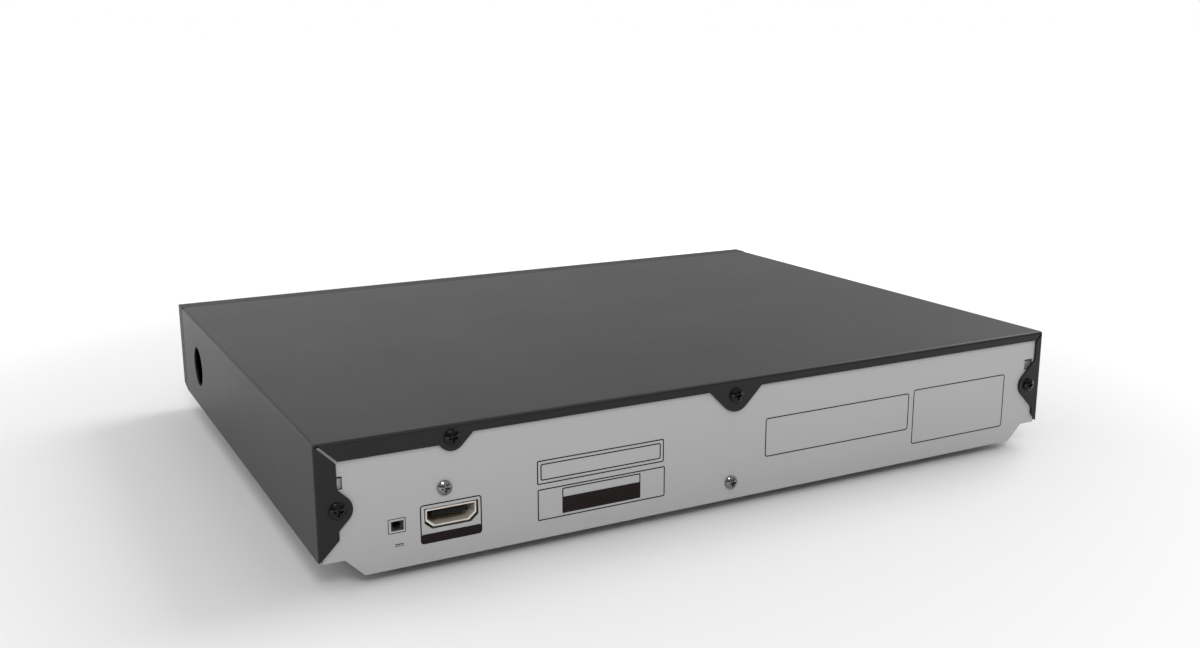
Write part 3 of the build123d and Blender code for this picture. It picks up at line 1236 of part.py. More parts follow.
def loader_frame():
    """Moulded loader chassis that carries the tray, the drive and the traverse's pivots."""
    left = X_LOADER - FRAME_HALF
    right = X_LOADER + FRAME_HALF
    frame = block(left, right, Y_FRAME, Y_FRAME_END, Z_FRAME, Z_DECK)
    opening = HOLDER_HALF + CUT_MARGIN
    frame -= block(
        X_LOADER - opening, X_LOADER + opening, Y_CAM_WALL - CAM_PIN_PLAY, Y_DISC + PLATE_WINDOW_BACK,
        Z_FRAME - CUT_MARGIN, Z_DECK + CUT_MARGIN,
    )
    track = CAM_PIN_X + CAM_STROKE + 2 * (CAM_PIN_RADIUS + CAM_PIN_PLAY) + CUT_MARGIN
    frame -= block(
        X_LOADER - track, X_LOADER + track, Y_CAM_WALL - CAM_PIN_PLAY, Y_CAM_WALL + CAM_WALL + CAM_PIN_PLAY,
        Z_FRAME - CUT_MARGIN, Z_DECK + CUT_MARGIN,
    )
    frame += block(left, right, Y_FRAME, Y_FRAME + FRAME_WALL, Z_FRAME, Z_DECK + FRAME_END_RISE)
    frame += block(left, right, Y_FRAME_END - FRAME_WALL, Y_FRAME_END, Z_FRAME, Z_DECK + FRAME_END_RISE)
    frame += frame_sides()
    frame += axle_post(X_GEAR, Y_GEAR, Z_DRIVE - GEAR_END_PLAY, Z_RACK_PINION_TOP)
    frame += axle_post(X_PULLEY, Y_GEAR, Z_DRIVE - GEAR_END_PLAY, Z_PULLEY_TOP)
    cup = MOTOR_RADIUS + MOTOR_PLAY
    frame += post(X_MOTOR, Y_GEAR, Z_FRAME, Z_DECK + MOTOR_CUP_RISE, cup + MOTOR_CUP)
    frame -= post(X_MOTOR, Y_GEAR, Z_FRAME - CUT_MARGIN, Z_DECK + MOTOR_CUP_RISE + CUT_MARGIN, cup)
    for side in (-1, 1):
        xs = sorted((X_LOADER + side * opening, X_LOADER + side * (opening + HOLDER_BEAM)))
        frame += block(
            xs[0], xs[1], Y_PIVOT - PIVOT_BLOCK, Y_PIVOT + PIVOT_BLOCK, Z_FRAME, Z_PIVOT + PIVOT_BLOCK,
        )
    bore = opening + HOLDER_BEAM + CUT_MARGIN
    frame -= bar_x(Y_PIVOT, Z_PIVOT, X_LOADER - bore, X_LOADER + bore, PIVOT_RADIUS + PIVOT_PLAY)
    for x in FRAME_SCREW_XS:
        for y in FRAME_SCREW_YS:
            frame -= small_pilot(x, y, Z_DECK)
    for x, y in bridge_screw_places():
        frame -= small_pilot(x, y, Z_BRIDGE)
    return frame


def loader_screws():
    """Screws that hold the loader to the pan and the clamp bridge to the loader."""
    screws = [small_screw(x, y, Z_DECK) for x in FRAME_SCREW_XS for y in FRAME_SCREW_YS]
    reach = BRIDGE_SHEET + LIP_HEIGHT
    screws += [small_screw(x, y, Z_BRIDGE + BRIDGE_SHEET, reach) for x, y in bridge_screw_places()]
    return Compound(screws)


def tray_gear():
    """Compound gear: the pulley's pinion drives its large gear, and its small one drives the rack."""
    large = prism_z(gear_outline(DRIVE_TEETH, DRIVE_MODULE, math.pi), Z_DRIVE, Z_DRIVE_TOP)
    small = prism_z(gear_outline(RACK_PINION_TEETH, RACK_MODULE, 0), Z_RACK_PINION, Z_RACK_PINION_TOP)
    gear = Pos(X_GEAR, Y_GEAR, 0) * (large + small)
    gear += post(X_GEAR, Y_GEAR, Z_DRIVE, Z_RACK_PINION_TOP, WAIST_RADIUS)
    return gear - post(X_GEAR, Y_GEAR, Z_DRIVE - CUT_MARGIN, Z_TRAY, AXLE_RADIUS + AXLE_PLAY)


def grooved_wheel(x, radius):
    """Belt pulley with a vee groove, at x on the gears' line."""
    groove = Z_PULLEY + PULLEY_WIDTH / 2
    half = PULLEY_GROOVE
    floor = radius - PULLEY_GROOVE
    profile = (
        (0, Z_PULLEY), (radius, Z_PULLEY), (radius, groove - half), (floor, groove - half / 2),
        (floor, groove + half / 2), (radius, groove + half), (radius, Z_PULLEY_TOP), (0, Z_PULLEY_TOP),
    )
    return turned(profile, x, Y_GEAR)


def pulley_gear():
    """Large belt pulley with its pinion below."""
    pinion = prism_z(gear_outline(PINION_TEETH, DRIVE_MODULE, math.pi / PINION_TEETH), Z_DRIVE, Z_PULLEY)
    gear = Pos(X_PULLEY, Y_GEAR, 0) * pinion + grooved_wheel(X_PULLEY, PULLEY_RADIUS)
    return gear - post(X_PULLEY, Y_GEAR, Z_DRIVE - CUT_MARGIN, Z_TRAY, AXLE_RADIUS + AXLE_PLAY)


def motor_pulley():
    """Small pulley and shaft of the loading motor."""
    wheel = grooved_wheel(X_MOTOR, MOTOR_PULLEY_RADIUS)
    return wheel + post(X_MOTOR, Y_GEAR, Z_MOTOR_TOP - MOTOR_HEIGHT / 2, Z_PULLEY, MOTOR_SHAFT_RADIUS)


def loading_motor():
    """Loading motor's can with a bored nose."""
    low = Z_MOTOR_TOP - MOTOR_HEIGHT
    can = post(X_MOTOR, Y_GEAR, low, Z_MOTOR_TOP - CUT_MARGIN, MOTOR_RADIUS)
    can = chamfer(can.edges().filter_by(GeomType.CIRCLE), MOTOR_RADIUS / 12)
    can += post(X_MOTOR, Y_GEAR, low, Z_MOTOR_TOP, MOTOR_RADIUS / 3)
    bore = MOTOR_SHAFT_RADIUS + SPINDLE_PLAY
    return can - post(X_MOTOR, Y_GEAR, Z_MOTOR_TOP - MOTOR_HEIGHT / 2, Z_PULLEY, bore)


def belt_outline(grow):
    """Belt's loop round both pulleys, grown from the groove floors."""
    big = PULLEY_RADIUS - PULLEY_GROOVE + BELT_PLAY + grow
    small = MOTOR_PULLEY_RADIUS - PULLEY_GROOVE + BELT_PLAY + grow
    lean = math.acos((big - small) / MOTOR_SPAN)
    ends = ((X_PULLEY, big, 1), (X_MOTOR, small, 1), (X_MOTOR, small, -1), (X_PULLEY, big, -1))
    loop = Polygon(*[
        (x - radius * math.cos(lean), Y_GEAR + sign * radius * math.sin(lean)) for x, radius, sign in ends
    ])
    loop += Pos(X_PULLEY, Y_GEAR) * Circle(big)
    return loop + Pos(X_MOTOR, Y_GEAR) * Circle(small)


def drive_belt():
    """Square rubber belt between the two pulleys."""
    half = PULLEY_GROOVE / 2 - BELT_PLAY
    return prism_z(belt_outline(BELT_SECTION) - belt_outline(0), Z_BELT - half, Z_BELT + half)


def cam_slot(x):
    """Sloped slot of the cam slider, from the raised pin's place to the lowered one, as an XZ outline."""
    radius = CAM_PIN_RADIUS + CAM_PIN_PLAY
    length = math.hypot(CAM_STROKE, CAM_DROP)
    slope = math.degrees(math.atan2(-CAM_DROP, CAM_STROKE))
    middle = Pos(x + CAM_STROKE / 2, Z_PIVOT - CAM_DROP / 2)
    return middle * Rot(0, 0, slope) * SlotOverall(length + 2 * radius, 2 * radius)


def cam_slider():
    """Slider whose sloped slots lift the front of the traverse."""
    room = 2 * (CAM_PIN_RADIUS + CAM_PIN_PLAY)
    x0 = X_LOADER - CAM_PIN_X - room
    x1 = X_LOADER + CAM_PIN_X + CAM_STROKE + room
    low = Z_PIVOT - CAM_DROP - CAM_PIN_RADIUS - CAM_PIN_PLAY - CAM_UNDER
    wall = block(x0, x1, Y_CAM_WALL, Y_CAM_WALL + CAM_WALL, low, Z_PIVOT + room)
    for side in (-1, 1):
        slot = cam_slot(X_LOADER + side * CAM_PIN_X)
        wall -= prism_y(slot, Y_CAM_WALL - CUT_MARGIN, Y_CAM_WALL + CAM_WALL + CUT_MARGIN)
    z = Z_DECK + CAM_GLIDE
    web = X_CAM_RACK - CAM_RACK_TEETH * math.pi * DRIVE_MODULE
    wall += block(web, x1, Y_CAM_WALL - CAM_WEB_DEPTH, Y_CAM_WALL, z, z + CAM_WEB)
    return wall + cam_rack()


def cam_rack():
    """Rack on the slider's web, which stands one step clear of the large gear while the tray moves."""
    pitch = math.pi * DRIVE_MODULE
    y = Y_GEAR + DRIVE_RADIUS
    teeth = Pos(X_CAM_RACK, y) * Rot(0, 0, 180) * rack_teeth(DRIVE_MODULE, CAM_RACK_TEETH, 0)
    bar = block(
        X_CAM_RACK - CAM_RACK_TEETH * pitch, X_CAM_RACK + pitch / 2,
        y + DRIVE_MODULE, y + 3 * DRIVE_MODULE, Z_DECK + CAM_GLIDE, Z_DRIVE_TOP,
    )
    return bar + prism_z(teeth, Z_DECK + CAM_GLIDE, Z_DRIVE_TOP)


def traverse_holder():
    """Tilting frame: pivots at the rear, cam pins at the front, four posts for the rubber mounts."""
    y_end = Y_PIVOT + PIVOT_RADIUS + CUT_MARGIN
    holder = Part()
    for side in (-1, 1):
        xs = sorted((X_LOADER + side * (HOLDER_HALF - HOLDER_BEAM), X_LOADER + side * HOLDER_HALF))
        holder += block(xs[0], xs[1], Y_HOLDER, y_end, Z_HOLDER, Z_HOLDER_TOP)
        tip = X_LOADER + side * (HOLDER_HALF + CUT_MARGIN + HOLDER_BEAM)
        pin = sorted((X_LOADER + side * (HOLDER_HALF - HOLDER_BEAM / 2), tip))
        holder += bar_x(Y_PIVOT, Z_PIVOT, pin[0], pin[1], PIVOT_RADIUS)
        x = X_LOADER + side * CAM_PIN_X
        holder += bar_y(x, Z_PIVOT, Y_CAM_WALL + CAM_PIN_PLAY, Y_HOLDER + CUT_MARGIN, CAM_PIN_RADIUS)
    left = X_LOADER - HOLDER_HALF
    right = X_LOADER + HOLDER_HALF
    for y0 in (Y_HOLDER, Y_DISC + PLATE_WINDOW_BACK + CUT_MARGIN):
        holder += block(left, right, y0, y0 + HOLDER_CROSS, Z_HOLDER, Z_HOLDER_TOP)
    for x, y in GROMMETS:
        holder += post(x, y, Z_HOLDER, Z_PLATE_TOP + 2 * GROMMET_FLANGE, GROMMET_POST)
    return holder


def damper_grommets():
    """Rubber mounts between the holder's posts and the mechanism plate."""
    bore = GROMMET_POST + GROMMET_PLAY
    top = Z_PLATE_TOP + GROMMET_FLANGE
    profile = (
        (bore, Z_HOLDER_TOP), (GROMMET_RADIUS, Z_HOLDER_TOP), (GROMMET_RADIUS, Z_PLATE),
        (GROMMET_NECK, Z_PLATE), (GROMMET_NECK, Z_PLATE_TOP), (GROMMET_RADIUS, Z_PLATE_TOP),
        (GROMMET_RADIUS, top), (bore, top),
    )
    return Compound([turned(profile, x, y) for x, y in GROMMETS])


def rod_seats():
    """Pressed seats for the ends of the guide rods."""
    seats = Part()
    for side in (-1, 1):
        x = X_LOADER + side * ROD_X
        for y in (Y_DISC + PLATE_WINDOW_FRONT - ROD_SEAT, Y_DISC + PLATE_WINDOW_BACK):
            seats += block(
                x - ROD_SEAT_HALF, x + ROD_SEAT_HALF, y, y + ROD_SEAT,
                Z_PLATE, Z_PLATE_TOP + ROD_SEAT_HEIGHT,
            )
    return seats


def mechanism_plate():
    """Steel plate that carries the spindle motor, the rods and the feed motor."""
    y0 = Y_HOLDER
    y1 = Y_DISC + PLATE_WINDOW_BACK + PLATE_END
    plate = block(X_LOADER - PLATE_HALF, X_LOADER + PLATE_HALF, y0, y1, Z_PLATE, Z_PLATE_TOP)
    plate -= block(
        X_LOADER - PLATE_WINDOW_HALF, X_LOADER + PLATE_WINDOW_HALF,
        Y_DISC + PLATE_WINDOW_FRONT, Y_DISC + PLATE_WINDOW_BACK,
        Z_PLATE - CUT_MARGIN, Z_PLATE_TOP + CUT_MARGIN,
    )
    room = FEED_MOTOR_RADIUS + CUT_MARGIN / 2
    plate -= block(
        X_MAIN_ROD - room, X_MAIN_ROD + room,
        Y_FEED_BRACKET - FEED_MOTOR_LENGTH - CUT_MARGIN, Y_FEED_BRACKET,
        Z_PLATE - CUT_MARGIN, Z_PLATE_TOP + CUT_MARGIN,
    )
    plate += rod_seats()
    half = FEED_MOTOR_RADIUS - CUT_MARGIN
    low = Z_SCREW_ROD - SCREW_ROD_RADIUS - CUT_MARGIN
    plate += block(
        X_MAIN_ROD - half, X_MAIN_ROD + half, Y_FEED_BRACKET, Y_FEED_BRACKET + FEED_BRACKET,
        low, Z_PLATE_TOP,
    )
    end = Y_DISC + PLATE_WINDOW_BACK
    plate += block(X_MAIN_ROD - half, X_MAIN_ROD + half, end - 2 * FEED_BRACKET, end, low, Z_PLATE_TOP)
    bore = SCREW_ROD_RADIUS + NUT_PLAY
    plate -= bar_y(X_MAIN_ROD, Z_SCREW_ROD, Y_FEED_BRACKET - CUT_MARGIN, end + CUT_MARGIN, bore)
    seat = Y_DISC + PLATE_WINDOW_FRONT - ROD_SEAT - CUT_MARGIN
    seat_end = end + ROD_SEAT + CUT_MARGIN
    for side in (-1, 1):
        plate -= bar_y(X_LOADER + side * ROD_X, Z_ROD, seat, seat_end, ROD_RADIUS + ROD_PLAY)
    for x, y in GROMMETS:
        plate -= post(x, y, Z_PLATE - CUT_MARGIN, Z_PLATE_TOP + CUT_MARGIN, GROMMET_NECK + GROMMET_PLAY)
    return plate


def guide_rods():
    """Two ground rods that the pickup slides on."""
    y0 = Y_DISC + PLATE_WINDOW_FRONT - ROD_SEAT
    y1 = Y_DISC + PLATE_WINDOW_BACK + ROD_SEAT
    return Compound([bar_y(X_LOADER + side * ROD_X, Z_ROD, y0, y1, ROD_RADIUS) for side in (-1, 1)])


def spindle_motor():
    """Base, stator and bearing of the disc motor."""
    inside = Z_TURNTABLE - TURNTABLE_RIM - STATOR_GAP
    low = inside + STATOR_GAP - ROTOR_HEIGHT + STATOR_GAP
    base = Z_PLATE_TOP + SPINDLE_BASE
    bore = SPINDLE_RADIUS + SPINDLE_PLAY
    profile = (
        (bore, Z_PLATE_TOP), (SPINDLE_BASE_RADIUS, Z_PLATE_TOP), (SPINDLE_BASE_RADIUS, base),
        (2 * bore, base), (2 * bore, low), (STATOR_RADIUS, low), (STATOR_RADIUS, inside), (bore, inside),
    )
    return turned(profile, X_LOADER, Y_DISC)


def turntable():
    """Rotor cup, disc seat, centring hub and shaft in one turning piece."""
    seat = Z_TURNTABLE - TURNTABLE_RIM
    low = seat - ROTOR_HEIGHT
    inner = ROTOR_RADIUS - ROTOR_WALL
    profile = (
        (0, Z_PLATE_TOP), (SPINDLE_RADIUS, Z_PLATE_TOP), (SPINDLE_RADIUS, seat), (inner, seat),
        (inner, low), (ROTOR_RADIUS, low), (ROTOR_RADIUS, seat), (TURNTABLE_RADIUS, seat),
        (TURNTABLE_RADIUS, Z_TURNTABLE), (HUB_RADIUS, Z_TURNTABLE),
        (HUB_RADIUS, Z_TURNTABLE + HUB_HEIGHT / 2), (HUB_TOP_RADIUS, Z_HUB), (0, Z_HUB),
    )
    return turned(profile, X_LOADER, Y_DISC)


def optical_pickup():
    """Pickup body with its two bushes, fork and half nut."""
    y1 = Y_PICKUP + PICKUP_LENGTH
    body = block(X_LOADER - PICKUP_HALF, X_LOADER + PICKUP_HALF, Y_PICKUP, y1, Z_PICKUP, Z_PICKUP_TOP)
    body = fillet(body.edges().filter_by(Axis.Z), PICKUP_HALF / 6)
    well = Z_PICKUP_TOP - LENS_WELL_DEPTH
    body -= post(X_LOADER, Y_LENS, well, Z_PICKUP_TOP + CUT_MARGIN, LENS_WELL_RADIUS)
    low = Z_ROD - ARM_HEIGHT / 2
    high = Z_ROD + ARM_HEIGHT / 2
    for y in (Y_PICKUP + CUT_MARGIN, y1 - CUT_MARGIN - BUSH_LENGTH):
        body += bar_y(X_MAIN_ROD, Z_ROD, y, y + BUSH_LENGTH, BUSH_RADIUS)
        body += block(X_MAIN_ROD, X_LOADER - PICKUP_HALF + CUT_MARGIN, y, y + BUSH_LENGTH, low, high)
    body -= bar_y(X_MAIN_ROD, Z_ROD, Y_PICKUP - CUT_MARGIN, y1 + CUT_MARGIN, ROD_RADIUS + NUT_PLAY)
    fork = Y_PICKUP + PICKUP_LENGTH / 2
    fork_x = X_LOADER + ROD_X
    body += block(
        X_LOADER + PICKUP_HALF - CUT_MARGIN, fork_x + BUSH_RADIUS,
        fork - BUSH_LENGTH / 2, fork + BUSH_LENGTH / 2,
        Z_ROD - BUSH_RADIUS, Z_ROD + BUSH_RADIUS,
    )
    gap = ROD_RADIUS + NUT_PLAY
    body -= block(fork_x - gap, fork_x + 2 * BUSH_RADIUS, Y_PICKUP, y1, Z_ROD - gap, Z_ROD + gap)
    arm_x = X_MAIN_ROD - SCREW_ROD_RADIUS - CUT_MARGIN
    body += block(
        arm_x, X_LOADER - PICKUP_HALF + CUT_MARGIN, fork - NUT_LENGTH / 2, fork + NUT_LENGTH / 2,
        Z_SCREW_ROD - NUT_HALF, Z_SCREW_ROD + NUT_HALF,
    )
    return body - bar_y(X_MAIN_ROD, Z_SCREW_ROD, Y_PICKUP, y1, SCREW_ROD_RADIUS + NUT_PLAY)


def objective_lens():
    """Lens in its moving holder."""
    low = Z_PICKUP_TOP - LENS_WELL_DEPTH + LENS_SPARE + LENS_TRAVEL
    top = Z_PICKUP_TOP + LENS_PROUD
    shoulder = top - LENS_PROUD / 2
    holder = post(X_LOADER, Y_LENS, low, shoulder, LENS_RADIUS)
    return holder + dome(X_LOADER, Y_LENS, shoulder, top, LENS_RADIUS * 0.7)


def lead_screw():
    """Feed screw that moves the pickup along its rods."""
    y0 = Y_FEED_BRACKET - FEED_MOTOR_LENGTH / 2 + NUT_PLAY
    y1 = Y_DISC + PLATE_WINDOW_BACK
    return bar_y(X_MAIN_ROD, Z_SCREW_ROD, y0, y1, SCREW_ROD_RADIUS)


def feed_motor():
    """Feed motor's can, bored for the lead screw."""
    back = Y_FEED_BRACKET - FEED_MOTOR_LENGTH
    can = bar_y(X_MAIN_ROD, Z_SCREW_ROD, back, Y_FEED_BRACKET, FEED_MOTOR_RADIUS)
    bore = SCREW_ROD_RADIUS + NUT_PLAY
    inside = back + FEED_MOTOR_LENGTH / 2
    return can - bar_y(X_MAIN_ROD, Z_SCREW_ROD, inside, Y_FEED_BRACKET + CUT_MARGIN, bore)


def clamp_bridge():
    """Steel bridge over the tray with a hole for the clamp puck."""
    plate = Rectangle(2 * FRAME_HALF, 2 * BRIDGE_HALF)
    plate = fillet(plate.vertices(), BRIDGE_ROUND)
    plate -= Circle(PUCK_RADIUS + PUCK_PLAY)
    bridge = prism_z(Pos(X_LOADER, Y_DISC) * plate, Z_BRIDGE, Z_BRIDGE + BRIDGE_SHEET)
    top = Z_BRIDGE + BRIDGE_SHEET
    for x, y in bridge_screw_places():
        bridge -= small_pilot(x, y, top)
    return bridge


def clamp_puck():
    """Clamp that hangs in the bridge by its flange and turns with the disc."""
    seat = Z_BRIDGE + BRIDGE_SHEET
    low = Z_HUB + PUCK_GAP
    top = seat + PUCK_FLANGE
    crown = top + PUCK_CROWN
    profile = (
        (0, low), (PUCK_RADIUS, low), (PUCK_RADIUS, seat), (PUCK_FLANGE_RADIUS, seat),
        (PUCK_FLANGE_RADIUS, top), (PUCK_CROWN_RADIUS, top),
        (PUCK_CROWN_RADIUS - PUCK_CROWN, crown), (0, crown),
    )
    return turned(profile, X_LOADER, Y_DISC)


PIECES = {
    "top_cover": top_cover,
    "base_pan": base_pan,
    "rear_panel": rear_panel,
    "front_bezel": front_bezel,
    "display_window": display_window,
    "tray_door": tray_door,
    "power_button": lambda: button(0),
    "eject_button": lambda: button(1),
    "play_button": lambda: button(2),
    "power_plunger": lambda: plunger(0),
    "eject_plunger": lambda: plunger(1),
    "play_plunger": lambda: plunger(2),
    "button_switches": button_switches,
    "front_board": front_board,
    "usb_shell": usb_shell,
    "usb_tongue": usb_tongue,
    "ir_receiver": ir_receiver,
    "standby_lamp": standby_lamp,
    "rubber_feet": rubber_feet,
    "cover_screws": cover_screws,
    "panel_screws": panel_screws,
    "bezel_screws": bezel_screws,
    "board_pillars": pillars,
    "board_screws": board_screws,
    "main_board": main_board,
    "hdmi_shell": hdmi_shell,
    "hdmi_tongue": hdmi_tongue,
    "dc_jack": dc_jack,
    "dc_jack_pin": dc_jack_pin,
    "processor_chip": processor_chip,
    "heatsink": heatsink,
    "memory_chips": memory_chips,
    "capacitors": capacitors,
    "power_inductors": power_inductors,
    "ribbon_sockets": ribbon_sockets,
    "front_ribbon": front_ribbon,
    "loader_ribbon": loader_ribbon,
    "loader_frame": loader_frame,
    "loader_screws": loader_screws,
    "disc_tray": disc_tray,
    "tray_gear": tray_gear,
    "pulley_gear": pulley_gear,
    "motor_pulley": motor_pulley,
    "loading_motor": loading_motor,
    "drive_belt": drive_belt,
    "cam_slider": cam_slider,
    "traverse_holder": traverse_holder,
    "mechanism_plate": mechanism_plate,
    "damper_grommets": damper_grommets,
    "guide_rods": guide_rods,
    "spindle_motor": spindle_motor,
    "turntable": turntable,
    "optical_pickup": optical_pickup,
    "objective_lens": objective_lens,
    "lead_screw": lead_screw,
    "feed_motor": feed_motor,
    "clamp_bridge": clamp_bridge,
    "clamp_puck": clamp_puck,
}

os.makedirs("parts", exist_ok=True)
for name, make in PIECES.items():
    export_step(make(), f"parts/{name}.step")
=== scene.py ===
import logging
import math
from dataclasses import dataclass
from enum import Enum
from typing import Callable, Optional, Sequence, Union

import bmesh
import bpy
from mathutils import Matrix, Vector


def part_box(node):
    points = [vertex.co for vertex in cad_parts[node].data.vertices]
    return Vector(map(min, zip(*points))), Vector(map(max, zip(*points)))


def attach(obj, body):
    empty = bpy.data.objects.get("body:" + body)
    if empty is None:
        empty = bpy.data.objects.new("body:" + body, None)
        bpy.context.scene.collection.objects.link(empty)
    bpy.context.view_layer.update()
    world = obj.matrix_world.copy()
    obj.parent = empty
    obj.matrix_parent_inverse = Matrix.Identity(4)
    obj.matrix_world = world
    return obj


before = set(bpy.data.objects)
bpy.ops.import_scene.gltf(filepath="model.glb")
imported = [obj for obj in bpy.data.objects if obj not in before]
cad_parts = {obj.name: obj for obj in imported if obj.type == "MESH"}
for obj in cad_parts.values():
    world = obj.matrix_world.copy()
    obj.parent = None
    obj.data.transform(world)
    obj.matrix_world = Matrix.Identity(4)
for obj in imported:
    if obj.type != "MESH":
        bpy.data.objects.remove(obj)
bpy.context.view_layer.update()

LOG = logging.getLogger("player")
MM = 0.001
HALF = 0.5
Color = tuple[float, float, float]
Point = Sequence[float]
Number = Union[float, "Value"]
BLACK: Color = (0.0, 0.0, 0.0)
WHITE: Color = (1.0, 1.0, 1.0)

# Factor on the coordinate along a metal's grain, which draws the noise out into lines.
ALONG = 0.04
# Octaves of plain noise and of noise with more detail.
PLAIN = 2.0
RICH = 3.0
# Sockets of a Mix node that mixes colours.
MIX_SHARE = 0
MIX_FIRST = 6
MIX_SECOND = 7
MIX_RESULT = 2
# Steps of softened and rounded edges, corners and arcs.
EDGE_SAMPLES = 6
EDGE_SEGMENTS = 2
CORNER_SEGMENTS = 5
ARC_STEPS = 28


class Axis(Enum):
    """Direction in which a metal was rolled, drawn or brushed, as factors on the coordinates."""

    X = (ALONG, 1.0, 1.0)
    Y = (1.0, ALONG, 1.0)
    Z = (1.0, 1.0, ALONG)


class Value:
    """Output socket of a shader node that takes part in Python arithmetic."""

    def __init__(self, book: "NodeBook", socket: bpy.types.NodeSocket) -> None:
        """Keep the socket and the book whose tree it is in."""
        self.book = book
        self.socket = socket

    def math(self, operation: str, *others: Number, reflected: bool = False) -> "Value":
        """Add one Math node.

        Args:
            operation: Name of the Math node's operation.
            others: Second and third operand.
            reflected: Whether this value is the second operand.

        Returns:
            The node's result.
        """
        operands = [self, *others]
        if reflected:
            operands.reverse()
        node = self.book.node("ShaderNodeMath", {"operation": operation}, dict(enumerate(operands)))
        return Value(self.book, node.outputs[0])

    def __add__(self, other: Number) -> "Value":
        """Sum of two values."""
        return self.math("ADD", other)

    def __radd__(self, other: Number) -> "Value":
        """Sum of a number and this value."""
        return self.math("ADD", other)

    def __sub__(self, other: Number) -> "Value":
        """Difference of two values."""
        return self.math("SUBTRACT", other)

    def __rsub__(self, other: Number) -> "Value":
        """A number less this value."""
        return self.math("SUBTRACT", other, reflected=True)

    def __mul__(self, other: Number) -> "Value":
        """Product of two values."""
        return self.math("MULTIPLY", other)

    def __rmul__(self, other: Number) -> "Value":
        """Product of a number and this value."""
        return self.math("MULTIPLY", other)

    def __gt__(self, other: Number) -> "Value":
        """One where this value is the greater, else zero."""
        return self.math("GREATER_THAN", other)

    def __lt__(self, other: Number) -> "Value":
        """One where this value is the smaller, else zero."""
        return self.math("LESS_THAN", other)

    def __abs__(self) -> "Value":
        """This value without its sign."""
        return self.math("ABSOLUTE")

    def fraction(self) -> "Value":
        """What this value is above the whole number below it."""
        return self.math("FRACT")

    def centred(self) -> "Value":
        """A value from zero to one, moved so that its middle is zero."""
        return self - HALF

    def ramp(self, low: float, high: float) -> "Value":
        """Smooth step from zero at low to one at high."""
        settings = {"interpolation_type": "SMOOTHSTEP"}
        node = self.book.node("ShaderNodeMapRange", settings, {0: self, 1: low, 2: high, 3: 0.0, 4: 1.0})
        return Value(self.book, node.outputs[0])


class NodeBook:
    """Node tree of a material or of the surround, cleared and written anew."""

    def __init__(self, tree: bpy.types.NodeTree) -> None:
        """Start with an empty tree."""
        self.tree = tree
        self.tree.nodes.clear()

    def node(
        self,
        kind: str,
        settings: Optional[dict[str, object]] = None,
        inputs: Optional[dict[Union[str, int], object]] = None,
    ) -> bpy.types.Node:
        """Add a node of any kind.

        Args:
            kind: The node's type.
            settings: Properties, set before the sockets.
            inputs: Values or links of its sockets, by name or number.

        Returns:
            The new node.
        """
        node = self.tree.nodes.new(kind)
        for key, value in (settings or {}).items():
            setattr(node, key, value)
        for key, value in (inputs or {}).items():
            self.feed(node.inputs[key], value)
        return node

    def feed(self, socket: bpy.types.NodeSocket, value: object) -> None:
        """Link a value or socket to a socket, or set a constant on it."""
        if isinstance(value, Value):
            value = value.socket
        if isinstance(value, bpy.types.NodeSocket):
            self.tree.links.new(value, socket)
        else:
            socket.default_value = value

    def blend(self, share: Value, first: object, second: object) -> bpy.types.NodeSocket:
        """Mix two colours by a share of the second one."""
        colors = [(*c, 1.0) if isinstance(c, tuple) else c for c in (first, second)]
        inputs = {MIX_SHARE: share, MIX_FIRST: colors[0], MIX_SECOND: colors[1]}
        return self.node("ShaderNodeMix", {"data_type": "RGBA"}, inputs).outputs[MIX_RESULT]


